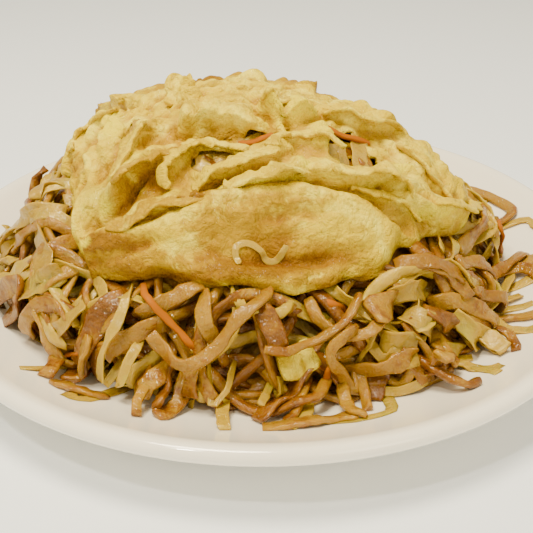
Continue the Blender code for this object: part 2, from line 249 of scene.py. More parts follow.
def frame_of(surface, azimuth, level):
    """Point, unit direction along the azimuth and downhill, outward normal and the two scales."""
    tiny = 1e-4
    here = surface(azimuth, level)
    along = (surface(azimuth + tiny, level) - here) / tiny
    down = (surface(azimuth, level + tiny) - here) / tiny
    along_scale = np.maximum(np.linalg.norm(along, axis=-1, keepdims=True), 1e-6)
    down_scale = np.maximum(np.linalg.norm(down, axis=-1, keepdims=True), 1e-6)
    along = along / along_scale
    down = down / down_scale
    return here, along, down, unit(np.cross(down, along)), along_scale, down_scale


def skin_frame(azimuth, level):
    return frame_of(skin_point, azimuth, np.clip(level, SKIN_TOP_LEVEL, SKIN_LOW_LEVEL))


# Where the omelette's hem runs: the level at azimuths in degrees
HEM_LEVELS = {
    -180: 0.47, -160: 0.45, -145: 0.50, -132: 0.60, -120: 0.61, -108: 0.57, -90: 0.575, -72: 0.60,
    -58: 0.60, -47: 0.57, -36: 0.56, -18: 0.605, 0: 0.645, 25: 0.60, 50: 0.63, 75: 0.57, 100: 0.61,
    125: 0.56, 150: 0.58,
}


def hem_level(azimuth):
    stated = np.array(sorted(HEM_LEVELS))
    levels = np.array([HEM_LEVELS[a] for a in stated])
    degrees = (np.degrees(azimuth) + 180) % 360 - 180
    return np.interp(degrees, np.append(stated, 180), np.append(levels, levels[0]))


def core_depth(azimuth, level):
    """How far the core lies under the skin: less where the omelette covers it."""
    covered = 1 - smooth_step(-0.12, 0.0, level - hem_level(azimuth))
    return CORE_DEPTH + (CORE_DEPTH_COVERED - CORE_DEPTH) * covered


def ceiling(azimuth, level):
    """How high over the terrain shreds may reach: to the omelette's underside, or just over the skin."""
    open_air = smooth_step(-0.03, 0.05, level - hem_level(azimuth))
    return core_depth(azimuth, level) - UNDER_SHEET + (UNDER_SHEET + OVER_SKIN) * open_air


def terrain(azimuth, level):
    """What the shreds lie on: the heap's core, which runs out on to the plate below FOOT_LEVEL."""
    upper = np.minimum(level, FOOT_LEVEL)
    here, _, _, normal, _, _ = skin_frame(azimuth, upper)
    core = here - normal * core_depth(azimuth, upper)[..., None]
    run = np.clip((level - FOOT_LEVEL) / (MAP_LOW_LEVEL - FOOT_LEVEL), 0, 1)
    reach = foot_reach(azimuth)
    start = np.hypot(core[..., 0], core[..., 1])
    ease = (1 - run) ** 2
    turn = 2 * run * (1 - run)
    radius = ease * start + turn * (start + 3 * MM) + run * run * (reach + SPREAD)
    floor = plate_height(radius) + TERRAIN_GAP
    height = np.maximum(ease * core[..., 2] + (1 - ease) * floor, floor)
    bearing = np.arctan2(core[..., 1], core[..., 0])
    spread = np.stack([radius * np.cos(bearing), radius * np.sin(bearing), height], axis=-1)
    return np.where((level > FOOT_LEVEL)[..., None], spread, core)


def terrain_frame(azimuth, level):
    return frame_of(terrain, azimuth, np.clip(level, 0.03, MAP_LOW_LEVEL - 0.002))


def front_point(azimuth, level):
    """What the photograph shows: the skin, and below its foot what lies spread on the plate."""
    share = smooth_step(FRONT_BLEND_LEVEL, 1.0, level)[..., None]
    spread = terrain(azimuth, level) + np.array((0, 0, 3 * MM))
    return skin_point(azimuth, np.minimum(level, SKIN_LOW_LEVEL)) * (1 - share) + spread * share


def front_grid():
    azimuth = np.linspace(-math.pi, math.pi, 541)[:-1]
    level = np.linspace(0.02, MAP_LOW_LEVEL - 0.03, 320)
    azimuth, level = grid_points(azimuth, level)
    here, _, _, normal, _, _ = frame_of(front_point, azimuth, level)
    seen = np.einsum("ij,ij->i", normal, CAMERA - here) > 0
    # the spread foot behind the heap is hidden by it
    seen &= (level < FRONT_BLEND_LEVEL) | (here[:, 1] < 25 * MM)
    return azimuth[seen], level[seen], to_pixel(here[seen])


PIXEL_GRID = front_grid()


def from_photo(pixels):
    """Azimuth and level that each pixel of the photograph shows."""
    azimuth, level, seen = PIXEL_GRID
    found = []
    for pixel in np.atleast_2d(np.array(pixels, float)):
        apart = np.hypot(*(seen - pixel).T)
        near = np.argpartition(apart, 5)[:5]
        weight = 1 / (apart[near] + 0.05) ** 2
        turn = np.exp(1j * azimuth[near])
        found.append((np.angle((turn * weight).sum()), (level[near] * weight).sum() / weight.sum()))
    return np.array(found)


def rounded(stops, rounds=3):
    """A route with its corners cut, so that it bends instead of turning."""
    for _ in range(rounds):
        early = 0.75 * stops[:-1] + 0.25 * stops[1:]
        late = 0.25 * stops[:-1] + 0.75 * stops[1:]
        middle = np.stack([early, late], axis=1).reshape(-1, stops.shape[1])
        stops = np.concatenate([stops[:1], middle[1:-1], stops[-1:]])
    return stops


def photo_route(pixels):
    """A line of the photograph as a bent route of azimuths and levels."""
    route = from_photo(pixels)
    return rounded(np.stack([np.unwrap(route[:, 0]), route[:, 1]], axis=1))


def run_along(line):
    """How far along the line each of its points lies."""
    return np.concatenate([[0], np.cumsum(np.linalg.norm(np.diff(line, axis=0), axis=1))])


def at_even_steps(values, run, count):
    """Values known at each point of a line, read again at evenly spaced places."""
    at = np.linspace(0, run[-1], count)
    return np.stack([np.interp(at, run, column) for column in values.T], axis=1)


def spaced(points, step):
    """The same line with evenly spaced points about step apart."""
    run = run_along(points)
    return at_even_steps(points, run, max(4, int(round(run[-1] / step)) + 1))


def softened(line, rounds):
    """A line with each inner point drawn towards its neighbours."""
    line = line.copy()
    for _ in range(rounds):
        line[1:-1] = 0.25 * line[:-2] + 0.5 * line[1:-1] + 0.25 * line[2:]
    return line


# Mesh helpers ------------------------------------------------------------------------------------


def add_mesh(name, points, faces, finish, attributes=None):
    mesh = bpy.data.meshes.new(name)
    mesh.from_pydata([tuple(p) for p in points], [], [tuple(f) for f in faces])
    mesh.update()
    for label, values in (attributes or {}).items():
        layer = mesh.attributes.new(label, "FLOAT", "POINT")
        layer.data.foreach_set("value", np.ascontiguousarray(values, dtype=np.float32))
    mesh.shade_smooth()
    obj = bpy.data.objects.new(name, mesh)
    obj.data.materials.append(finish)
    bpy.context.scene.collection.objects.link(obj)
    return obj


def ring_faces(columns, rows):
    """Quads between the columns of a closed ring, whose points are listed column by column."""
    faces = []
    for column in range(columns):
        onward = (column + 1) % columns
        for row in range(rows - 1):
            low, beside = column * rows + row, onward * rows + row
            faces.append((low, low + 1, beside + 1, beside))
    return faces


def first_row(columns, rows):
    """The face that closes such a ring at its first row."""
    return tuple(column * rows for column in range(columns))


def last_row(columns, rows):
    """The face that closes such a ring at its last row."""
    return tuple(column * rows + rows - 1 for column in reversed(range(columns)))


def noise_at(points, scale, octaves, offset=0.0):
    """Fractal noise, about -1 to 1, at points in metres.

    scale is the size of its largest lumps, and a different offset gives a different noise.
    """
    shift = Vector((offset, offset * 1.7, -offset))
    return np.array([noise.fractal(Vector(p) / scale + shift, 1.0, 2.0, octaves) for p in points])


def ribbon_frame(centre, normal, twist):
    """Width and face directions of a ribbon along a line, turned by twist from lying flat."""
    tangent = unit(np.gradient(centre, axis=0))
    flat = unit(np.cross(normal, tangent))
    raised = np.cross(tangent, flat)
    side = flat * np.cos(twist)[:, None] + raised * np.sin(twist)[:, None]
    return side, np.cross(tangent, side)


class Bundle:
    """Ribbons of one kind, gathered into one mesh."""

    # across and upward, as shares of half the width and half the thickness
    SECTION = [(-1.0, -0.3), (-1.0, 0.3), (-0.78, 0.9), (0.0, 1.0), (0.78, 0.9), (1.0, 0.3),
               (1.0, -0.3), (0.78, -0.9), (0.0, -1.0), (-0.78, -0.9)]

    def __init__(self):
        self.points = []
        self.faces = []
        self.layers = {"tone": [], "brown": []}
        self.count = 0

    def add(self, centre, side, up, half_width, thickness, tone, brown, cup):
        """Adds a ribbon. half_width and brown may vary along it, and cup is how deeply its face is dished."""
        stations = len(centre)
        half_width = np.broadcast_to(half_width, stations)
        brown = np.broadcast_to(brown, stations)
        section = np.array(self.SECTION)
        across = half_width[:, None] * section[None, :, 0]
        rise = 0.5 * thickness * section[None, :, 1]
        rise = rise + (cup * half_width)[:, None] * (section[None, :, 0] ** 2 - 0.4)
        points = centre[:, None] + side[:, None] * across[..., None] + up[:, None] * rise[..., None]
        points = points.reshape(-1, 3)
        # nothing goes through the plate
        floor = plate_height(np.hypot(points[:, 0], points[:, 1])) + SHRED_GAP
        points[:, 2] = np.maximum(points[:, 2], floor)
        sides = len(section)
        first = self.count
        for station in range(stations - 1):
            low = first + station * sides
            for corner in range(sides):
                after = (corner + 1) % sides
                self.faces.append((low + corner, low + sides + corner, low + sides + after, low + after))
        self.faces.append(tuple(first + corner for corner in range(sides)))
        last = first + (stations - 1) * sides
        self.faces.append(tuple(last + corner for corner in reversed(range(sides))))
        self.points.append(points)
        self.count += stations * sides
        self.layers["tone"].append(np.full(stations * sides, tone))
        self.layers["brown"].append(np.repeat(brown, sides))

    def build(self, name, finish):
        layers = {label: np.concatenate(values) for label, values in self.layers.items()}
        return add_mesh(name, np.concatenate(self.points), self.faces, finish, layers)


# Shreds ------------------------------------------------------------------------------------------


class Pile:
    """Height map over the terrain, on which shreds are laid one after the other."""

    def __init__(self):
        self.height = np.zeros((MAP_AZIMUTHS, MAP_LEVELS))

    def cells(self, azimuth, level):
        column = ((azimuth / TAU) % 1 * MAP_AZIMUTHS).astype(int) % MAP_AZIMUTHS
        share = (level - MAP_TOP_LEVEL) / (MAP_LOW_LEVEL - MAP_TOP_LEVEL)
        row = np.clip((share * MAP_LEVELS).astype(int), 0, MAP_LEVELS - 1)
        return column, row

    def lay(self, route, half_width, thickness, twist, lift, press, headroom=0.0):
        """Rests a ribbon on the pile along a route of azimuths and levels.

        Returns its centre line, width direction and face direction. twist is the angle of its width
        from lying flat, lift is how far it arches above what it rests on, press sinks it in, and
        headroom is how far it may stand above the ceiling.
        """
        azimuth = route[:, 0]
        level = np.clip(route[:, 1], MAP_TOP_LEVEL + 0.01, MAP_LOW_LEVEL - 0.01)
        here, along, down, normal, along_scale, down_scale = terrain_frame(azimuth, level)
        flat = unit(np.cross(normal, unit(np.gradient(here, axis=0))))
        flat_along = np.einsum("ij,ij->i", flat, along)[:, None]
        flat_down = np.einsum("ij,ij->i", flat, down)[:, None]
        reach = half_width * np.abs(np.cos(twist)) + 0.5 * thickness * np.abs(np.sin(twist))

        def under_width(samples):
            """Places spread over the ribbon's width, and the cells of the map under them."""
            offsets = np.linspace(-1, 1, samples)[None, :] * reach[:, None]
            beside = azimuth[:, None] + offsets * flat_along / along_scale
            below = level[:, None] + offsets * flat_down / down_scale
            return offsets, self.cells(beside, below)

        offsets, cells = under_width(READ_SAMPLES)
        under = self.height[cells]
        # the two outer places at one side lie about 1.6 reaches from those at the other
        slope = (under[:, -2:].mean(1) - under[:, :2].mean(1)) / (1.6 * reach)
        slope = np.clip(slope, -STEEPEST, STEEPEST)
        slope = softened(slope, 2)
        need = (under - slope[:, None] * offsets).max(axis=1) - SAG
        height = need
        for _ in range(SETTLE_ROUNDS):
            height = np.maximum(softened(height, 1), need)
        standing = 0.5 * thickness + half_width * np.abs(np.sin(twist)) * EDGE_SHARE
        height = height + standing + lift - press
        limit = ceiling(azimuth, level) + headroom - standing
        pressed = limit + OVER_CEILING * (height - limit) * smooth_step(0, CEILING_SLACK, limit)
        height = np.where(height > limit, pressed, height)
        height = np.minimum(height, np.maximum(limit + CEILING_SLACK, 0.5 * MM))
        offsets, cells = under_width(RAISE_SAMPLES)
        top = height[:, None] + slope[:, None] * offsets + 0.5 * thickness
        top = top + (half_width * np.abs(np.sin(twist)) * 0.5)[:, None]
        np.maximum.at(self.height, cells, top)
        centre = softened(here + normal * height[:, None], 2)
        side, up = ribbon_frame(centre, normal, twist + np.arctan(slope))
        return centre, side, up


def walk(rng, length, azimuth, level, heading, bend, wander, lowest, highest):
    """A wandering route over the terrain: turns or ends at the lowest level, ends at the highest."""
    steps = int(length / WALK_STEP)
    route = np.zeros((steps + 1, 2))
    drift = rng.normal(0, wander, steps + 1)
    ends_there = rng.uniform() < END_SHARE
    for n in range(steps + 1):
        route[n] = azimuth, level
        if n % 3 == 0:
            _, _, _, _, along_scale, down_scale = terrain_frame(np.array([azimuth]), np.array([level]))
        azimuth += math.cos(heading) * WALK_STEP / along_scale[0, 0]
        level += math.sin(heading) * WALK_STEP / down_scale[0, 0]
        bend = 0.97 * bend + 0.25 * drift[n]
        if (level > highest and math.sin(heading) > 0) or (level < lowest and math.sin(heading) < 0):
            if n > LEAST_STEPS and (ends_there or level > highest):
                return route[: n + 1]
            onward = 1 if math.cos(heading) >= 0 else -1
            heading -= 0.22 * onward * math.copysign(1, math.sin(heading))
        heading += bend
    return route


def wave(rng, count, amplitude, turns):
    """A smooth uneven wave along a ribbon."""
    at = np.linspace(0, 1, count)
    first, second = rng.uniform(0, TAU, 2)
    slow = np.sin(first + TAU * turns * at)
    quick = np.sin(second + TAU * 2.3 * turns * at)
    return amplitude * (0.65 * slow + 0.35 * quick)


def unsteady(rng, centre, side, up, sideways, sideways_turns, upward_turns):
    """A ribbon's centre line with a slight waver across and upward."""
    count = len(centre)
    across = side * wave(rng, count, sideways, sideways_turns)[:, None]
    rise = up * wave(rng, count, 0.35 * MM, upward_turns)[:, None]
    return centre + across + rise


def taper(count, share=0.8, ends=1):
    """Half-width factors that round off both ends of a ribbon."""
    factor = np.ones(count)
    for n in range(ends):
        eased = share + (1 - share) * math.sin((n + 0.4) / ends * math.pi / 2)
        factor[n] = factor[-1 - n] = eased
    return factor


# Loose shreds: half width, thickness, shortest and longest length, how much they wander and twist
KINDS = {
    "pancake": (2.1 * MM, 2.4 * MM, 42 * MM, 115 * MM, 0.09, 0.6),
    "cabbage": (2.1 * MM, 1.1 * MM, 20 * MM, 60 * MM, 0.15, 0.8),
    "carrot": (0.9 * MM, 1.5 * MM, 14 * MM, 32 * MM, 0.06, 0.2),
}
COUNTS = {"pancake": 330, "cabbage": 150, "carrot": 12}
LOOSE_CUP = {"pancake": 0.08, "cabbage": 0.35, "carrot": 0.0}
LOOSE_PRESS = 0.5 * MM
# each shred starts this far round from the last one, so that they are spread evenly
GOLDEN_ANGLE = 2.399963
# at the left and right this share of the pancake shreds is cabbage instead
CABBAGE_AT_SIDES = 0.3
# share of the pancake shreds that are wide ones, and how much larger it is at the left and right
WIDE_SHARE = 0.08
WIDE_AT_SIDES = 0.14
# The loose shreds end at this level. Round one azimuth they end higher up the heap: by how much, and
# that azimuth and the spread in degrees.
FOOT_LIMIT = 1.05
BARE_DEPTH = 0.11
BARE_AZIMUTH = -143
BARE_SPREAD = 20


def foot_limit(azimuth):
    """How far down the terrain the loose shreds run: less at the near left, where the plate shows."""
    degrees = (math.degrees(azimuth) + 180) % 360 - 180
    return FOOT_LIMIT - BARE_DEPTH * math.exp(-(((degrees - BARE_AZIMUTH) / BARE_SPREAD) ** 2))


def lay_loose(rng, pile, bundles):
    """The tangle: shreds of every kind in random order over the heap's side."""
    order = [kind for kind, count in COUNTS.items() for _ in range(count)]
    rng.shuffle(order)
    total = len(order)
    for number, kind in enumerate(order):
        azimuth = (number * GOLDEN_ANGLE + rng.uniform(-0.2, 0.2)) % TAU
        # the photograph shows more cabbage and paler shreds at the left and right
        sideways = math.cos(azimuth) ** 2
        if kind == "pancake" and rng.uniform() < CABBAGE_AT_SIDES * sideways:
            kind = "cabbage"
        half_width, thickness, shortest, longest, wander, twisting = KINDS[kind]
        half_width = half_width * rng.uniform(0.7, 1.25)
        if kind == "pancake" and rng.uniform() < WIDE_SHARE + WIDE_AT_SIDES * sideways:
            half_width = half_width * rng.uniform(1.4, 1.9)
        thickness = thickness * rng.uniform(0.8, 1.2)
        level = rng.uniform(float(hem_level(azimuth)) - 0.1, foot_limit(azimuth) - 0.05)
        late = number / total
        heading = rng.uniform(0, TAU)
        length = rng.uniform(shortest, longest)
        bend = rng.normal(0, 0.13)
        lowest = float(hem_level(azimuth)) - 0.12
        route = walk(rng, length, azimuth, level, heading, bend, wander, lowest, foot_limit(azimuth))
        count = len(route)
        twist = wave(rng, count, twisting * (0.5 + late), rng.uniform(0.4, 1.1)) + rng.normal(0, 0.15)
        # what runs out on to the plate lies flat
        twist = twist * (1 - 0.7 * smooth_step(0.86, 1.0, route[:, 1]))
        lift = np.maximum(wave(rng, count, 2.6 * MM * late, 0.8), 0)
        centre, side, up = pile.lay(route, half_width, thickness, twist, lift, LOOSE_PRESS)
        widths = half_width * taper(count) * (1 + wave(rng, count, 0.09, 3.0))
        centre = unsteady(rng, centre, side, up, 0.25 * MM, 3.0, 2.5)
        if kind == "carrot":
            widths = half_width * taper(count, 0.35, 3)
        # browner towards the front, which is partly browning and partly painted shade where the front lies
        # under the omelette; less brown at the left and right
        browning_and_front_shade = 0.12 * max(0, -math.sin(azimuth)) - 0.25 * sideways
        brown = np.clip(rng.beta(0.9, 1.5) * 1.2 + browning_and_front_shade + wave(rng, count, 0.5, 1.3), 0, 1.3)
        tone = rng.uniform(0, 1) * (1 - 0.6 * sideways)
        cup = LOOSE_CUP[kind] * rng.uniform(-1, 1)
        if kind != "pancake":
            brown = 0.0
        bundles[kind].add(centre, side, up, widths, thickness, tone, brown, cup)


# Single shreds that the photograph shows, in the order in which they are laid: kind, width, which
# stands for a half width of LISTED_HALF_WIDTH for each unit, how brown, twist in degrees from start to
# end, how far it arches in mm, and pixels along it.
PHOTO_SHREDS = [
    ("pancake", 8, 0.35, (0, 20), 0, [(458, 262), (486, 256), (520, 262), (548, 276)]),
    ("pancake", 9, 0.2, (0, -10), 0, [(440, 300), (478, 306), (512, 312), (545, 308)]),
    ("cabbage", 7, 0.0, (10, 0), 1, [(462, 322), (490, 318), (516, 326), (540, 322)]),
    ("pancake", 7, 0.3, (0, 30), 1, [(470, 296), (486, 290), (508, 280), (520, 266), (527, 250)]),
    ("cabbage", 5, 0.0, (0, 20), 0, [(455, 366), (470, 362), (486, 363), (500, 367), (510, 366)]),
    ("cabbage", 9, 0.0, (10, 30), 1, [(452, 314), (462, 326), (470, 340), (474, 352)]),
    ("cabbage", 6, 0.0, (0, 0), 1, [(474, 338), (488, 340), (504, 346)]),
    ("pancake", 10, 0.85, (0, -20), 0, [(430, 346), (444, 356), (450, 370), (440, 384)]),
    ("pancake", 11, 0.95, (0, 10), 0, [(372, 394), (390, 390), (410, 384)]),
    ("pancake", 9, 0.4, (10, 0), 0, [(396, 352), (411, 362), (426, 378), (450, 384)]),
    ("pancake", 8, 0.15, (0, 0), 0, [(262, 428), (290, 426), (312, 419), (338, 412), (358, 410)]),
    ("pancake", 9, 0.9, (-10, 10), 1, [(258, 416), (290, 406), (326, 394), (352, 394)]),
    ("pancake", 6, 0.1, (20, -20), 1, [(345, 398), (352, 412), (370, 420)]),
    ("cabbage", 4, 0.0, (0, 60), 2, [(260, 411), (270, 396), (281, 378)]),
    ("egg", 15, 0.1, (0, 15), 1, [(280, 368), (294, 366), (306, 358), (318, 352)]),
    ("cabbage", 5, 0.0, (0, 20), 1, [(374, 340), (373, 352), (380, 361), (392, 360), (393, 348)]),
    ("cabbage", 17, 0.1, (0, 10), 1, [(380, 342), (396, 349), (411, 352)]),
    ("cabbage", 2.4, 0.0, (0, 0), 2, [(371, 318), (374, 334), (366, 352), (363, 374)]),
    ("carrot", 3.4, 0.0, (0, 0), 1, [(320, 293), (334, 304), (350, 307)]),
    ("carrot", 3.2, 0.0, (0, 0), 1, [(331, 368), (332, 388)]),
    ("carrot", 3.4, 0.0, (0, 0), 2, [(474, 234), (484, 229), (492, 225)]),
    ("carrot", 3.4, 0.0, (0, 0), 1, [(18, 324), (28, 314), (38, 305)]),
    ("cabbage", 10, 0.0, (0, 20), 1, [(390, 296), (408, 290), (430, 288)]),
    ("cabbage", 8, 0.0, (0, -20), 1, [(410, 330), (424, 322), (438, 310)]),
    ("pancake", 10, 0.9, (0, 10), 1, [(420, 312), (434, 318), (450, 326)]),
    ("pancake", 8, 0.3, (0, 0), 1, [(410, 262), (430, 268), (450, 282), (462, 300)]),
    ("pancake", 9, 0.2, (0, 20), 1, [(350, 372), (372, 370), (392, 366), (410, 352)]),
    ("pancake", 6, 0.2, (20, 0), 2, [(312, 296), (318, 314), (330, 330), (352, 340), (372, 330), (384, 312)]),
    ("pancake", 10, 0.9, (0, 30), 1, [(260, 308), (270, 322), (281, 352)]),
    ("pancake", 8, 0.15, (20, 0), 2, [(205, 292), (204, 310), (206, 328), (214, 340)]),
    ("pancake", 8, 0.5, (0, -20), 1, [(193, 366), (188, 390), (174, 408), (154, 416)]),
    ("cabbage", 3, 0.0, (0, 0), 2, [(233, 362), (224, 392), (206, 404), (186, 405)]),
    ("pancake", 12, 0.9, (0, 15), 0, [(126, 292), (108, 310), (94, 334), (80, 358), (70, 376)]),
    ("pancake", 7, 0.3, (0, 0), 1, [(46, 384), (62, 394), (84, 396), (106, 390)]),
    ("pancake", 8, 0.25, (0, 30), 1, [(30, 318), (40, 306), (56, 302), (68, 310), (74, 326)]),
    ("pancake", 9, 0.6, (0, 10), 1, [(26, 314), (28, 334), (40, 352), (44, 372)]),
    ("pancake", 9, 0.1, (10, 0), 1, [(108, 354), (130, 338), (150, 326), (166, 322)]),
    ("pancake", 8, 0.2, (0, 0), 2, [(136, 316), (158, 306), (182, 291), (200, 281)]),
    ("cabbage", 3.6, 0.0, (0, 50), 2, [(44, 206), (50, 190), (62, 178), (80, 172), (88, 184)]),
    ("cabbage", 3.4, 0.0, (0, 50), 2, [(52, 208), (60, 194), (72, 186), (84, 192), (80, 208)]),
    ("pancake", 6, 0.3, (0, 50), 1, [(36, 230), (48, 222), (62, 226), (74, 240)]),
    ("cabbage", 8, 0.0, (0, 10), 0, [(8, 258), (18, 244), (30, 226)]),
    ("cabbage", 8, 0.0, (0, 20), 0, [(12, 270), (24, 260), (36, 262)]),
    ("pancake", 11, 0.8, (0, 20), 0, [(4, 292), (16, 274), (32, 272), (40, 286), (28, 298)]),
    ("pancake", 7, 0.2, (0, 30), 1, [(38, 262), (50, 250), (66, 252), (78, 268)]),
    ("cabbage", 11, 0.2, (0, 20), 1, [(46, 232), (54, 254), (52, 284)]),
    ("cabbage", 12, 0.1, (0, 10), 1, [(32, 294), (48, 286), (66, 272)]),
    ("cabbage", 9, 0.3, (0, 20), 1, [(20, 226), (36, 213), (60, 210)]),
    ("cabbage", 8, 0.1, (10, 40), 2, [(3, 264), (7, 244), (20, 235), (30, 246)]),
    ("cabbage", 7, 0.1, (0, 50), 2, [(45, 204), (48, 186), (62, 174), (82, 178), (88, 190)]),
    ("cabbage", 8, 0.4, (0, 20), 1, [(58, 198), (66, 187), (80, 186)]),
    ("pancake", 8, 0.3, (0, 20), 1, [(58, 248), (70, 234), (84, 228)]),
    ("cabbage", 7, 0.2, (20, 0), 2, [(40, 222), (52, 214), (66, 218), (74, 232)]),
    ("pancake", 15, 0.35, (0, 5), 1, [(366, 314), (380, 309), (396, 300)]),
    ("cabbage", 12, 0.5, (0, 10), 1, [(404, 314), (422, 325), (438, 333)]),
    ("cabbage", 9, 0.2, (0, 30), 1, [(478, 346), (494, 343), (508, 347)]),
    ("pancake", 9, 0.35, (0, 10), 1, [(436, 342), (446, 362), (458, 380), (452, 394)]),
    ("pancake", 8, 0.2, (0, 20), 2, [(398, 263), (420, 262), (440, 272), (456, 282)]),
    ("cabbage", 9, 0.1, (0, 10), 2, [(448, 262), (456, 276), (466, 288)]),
    ("pancake", 9, 0.3, (0, 10), 1, [(128, 388), (146, 380), (166, 366)]),
    ("pancake", 8, 0.8, (0, 30), 1, [(142, 384), (150, 396), (156, 410)]),
    ("pancake", 8, 0.25, (0, 20), 1, [(96, 336), (90, 352), (78, 366)]),
    ("cabbage", 8, 0.1, (0, 10), 2, [(64, 330), (78, 322), (92, 306)]),
    # these lie on top of all the others
    ("carrot", 3.6, 0.0, (0, 0), 2, [(139, 284), (154, 302), (172, 324), (194, 348)]),
    ("cabbage", 4.6, 0.0, (0, 30), 5,
     [(127, 284), (136, 300), (128, 322), (118, 344), (109, 362), (112, 375), (121, 380), (131, 372),
      (137, 358), (140, 342)]),
    ("pancake", 4.4, 0.2, (30, 0), 3,
     [(358, 296), (346, 318), (328, 336), (304, 345), (282, 354), (264, 349)]),
    ("pancake", 5.4, 0.15, (0, 30), 3,
     [(352, 330), (335, 338), (324, 352), (330, 366), (348, 374), (364, 386), (369, 404)]),
    ("pancake", 6.6, 0.1, (10, -30), 4,
     [(154, 334), (168, 354), (186, 366), (204, 361), (220, 347), (232, 327), (246, 311), (268, 297),
      (274, 288), (262, 281)]),
]


PHOTO_THICKNESS = {"pancake": 2.2 * MM, "cabbage": 1.2 * MM, "carrot": 1.6 * MM, "egg": 2.8 * MM}
PHOTO_CUP = {"pancake": 0.15, "cabbage": 0.35, "carrot": 0.0, "egg": 0.15}
PHOTO_PRESS = 0.8 * MM


def lay_from_photo(rng, pile, bundles):
    for kind, width, brown, twists, lift_mm, pixels in PHOTO_SHREDS:
        route = photo_route(pixels)
        here, _, _, _, _, _ = terrain_frame(route[:, 0], route[:, 1])
        run = run_along(here)
        count = max(5, int(run[-1] / ROUTE_STEP))
        route = at_even_steps(route, run, count)
        twist = np.radians(np.linspace(*twists, count)) + wave(rng, count, 0.12, 1.0)
        lift = lift_mm * MM * np.sin(np.linspace(0, math.pi, count)) ** 0.7
        half_width = width * LISTED_HALF_WIDTH
        thickness = PHOTO_THICKNESS[kind]
        headroom = lift_mm * MM
        centre, side, up = pile.lay(route, half_width, thickness, twist, lift, PHOTO_PRESS, headroom)
        browns = np.clip(brown + wave(rng, count, 0.15, 1.5), 0, 1)
        widths = half_width * taper(count) * (1 + wave(rng, count, 0.14, 3.0))
        centre = unsteady(rng, centre, side, up, 0.3 * MM, 4.0, 3.0)
        bundles[kind].add(centre, side, up, widths, thickness, rng.uniform(0, 1), browns, PHOTO_CUP[kind])


# What shows through the tears, and what closes them from behind: kind, half width in mm, how brown,
# twist in degrees from start to end, depth under the skin in mm, and pixels along it. The deeper it
# lies, the lower in the picture it shows than its pixels say.
TEAR_SHREDS = [
    ("cabbage", 3.2, 0.5, (0, 10), 6.5, [(192, 153), (206, 150), (222, 150), (240, 147)]),
    ("cabbage", 2.4, 0.3, (10, 0), 6.0, [(196, 164), (204, 154), (212, 145)]),
    ("cabbage", 3.0, 0.4, (0, 10), 6.5, [(338, 132), (342, 150), (350, 168)]),
    ("pancake", 2.8, 0.3, (0, 10), 7.0, [(370, 130), (372, 148), (380, 168)]),
    ("cabbage", 2.0, 0.4, (0, 10), 6.5, [(244, 132), (256, 126), (270, 122)]),
    ("cabbage", 3.0, 0.8, (0, 10), 6.5, [(188, 164), (206, 158), (226, 154), (246, 150)]),
    ("pancake", 2.2, 0.9, (20, -10), 6.0, [(198, 148), (208, 156), (222, 166)]),
    ("cabbage", 2.6, 1.0, (0, -15), 8.0, [(186, 148), (204, 146), (226, 144), (246, 141)]),
    ("pancake", 2.4, 0.3, (0, 20), 9.0, [(184, 172), (204, 168), (228, 160), (250, 158)]),
    ("cabbage", 2.0, 0.6, (10, -10), 6.5, [(346, 128), (350, 148), (355, 172)]),
    ("cabbage", 3.7, 0.3, (-6, 6), 6.4, [(365, 120), (366, 137), (370, 158)]),
    ("pancake", 2.0, 1.0, (0, 20), 8.0, [(372, 138), (377, 152), (384, 166)]),
    ("pancake", 2.6, 0.6, (0, 10), 9.5, [(336, 132), (354, 134), (380, 142)]),
    ("pancake", 3.0, 0.2, (0, 0), 10.5, [(338, 156), (358, 158), (384, 158)]),
    ("cabbage", 1.8, 0.6, (0, 20), 5.5, [(120, 106), (124, 122), (118, 142)]),
    ("cabbage", 1.6, 0.5, (0, -20), 5.5, [(131, 104), (131, 120), (126, 142)]),
    ("pancake", 1.8, 0.3, (0, 20), 8.0, [(116, 118), (126, 128), (138, 132)]),
    ("cabbage", 1.8, 1.0, (0, 20), 7.0, [(238, 128), (256, 130), (274, 124)]),
    ("egg", 6.0, 0.5, (0, 0), 9.5, [(326, 104), (346, 110), (370, 117), (396, 126)]),
    ("egg", 5.0, 0.7, (0, 0), 10.0, [(346, 128), (366, 136), (390, 144)]),
    ("pancake", 3.0, 0.8, (0, 0), 9.5, [(336, 140), (358, 144), (384, 148)]),
    ("egg", 6.0, 0.6, (0, 0), 7.5, [(230, 122), (254, 115), (282, 106)]),
    ("egg", 5.0, 0.6, (0, 0), 7.5, [(196, 142), (222, 140), (250, 134)]),
]


def lay_in_tears(rng, bundles):
    for kind, half_width_mm, brown, twists, depth_mm, pixels in TEAR_SHREDS:
        route = photo_route(pixels)
        here, _, _, normal, _, _ = skin_frame(route[:, 0], route[:, 1])
        line = spaced(np.concatenate([here - normal * depth_mm * MM, normal], axis=1), ROUTE_STEP)
        centre, normal = line[:, :3], line[:, 3:]
        count = len(centre)
        side, up = ribbon_frame(centre, normal, np.radians(np.linspace(*twists, count)))
        centre = centre + up * wave(rng, count, 0.6 * MM, 1.0)[:, None]
        widths = half_width_mm * MM * (1 + wave(rng, count, 0.1, 1.5))
        bundles[kind].add(centre, side, up, widths, 1.0 * MM, rng.uniform(), brown, 0.2)


def make_core(finish):
    """What fills the heap behind the shreds: a brown lumpy core, closed just above the plate."""
    azimuths, levels = 180, 60
    azimuth, level = grid_points(np.linspace(0, TAU, azimuths + 1)[:-1], np.linspace(0.03, 1.0, levels))
    here, _, _, normal, _, _ = terrain_frame(azimuth, level)
    points = here + normal * (noise_at(here, 9 * MM, 2) * 0.8 * MM - 1.0 * MM)[:, None]
    floor = plate_height(np.hypot(points[:, 0], points[:, 1])) + CORE_GAP
    points[:, 2] = np.maximum(points[:, 2], floor)
    caps = [first_row(azimuths, levels), last_row(azimuths, levels)]
    return add_mesh("heap_core", points, ring_faces(azimuths, levels) + caps, finish)


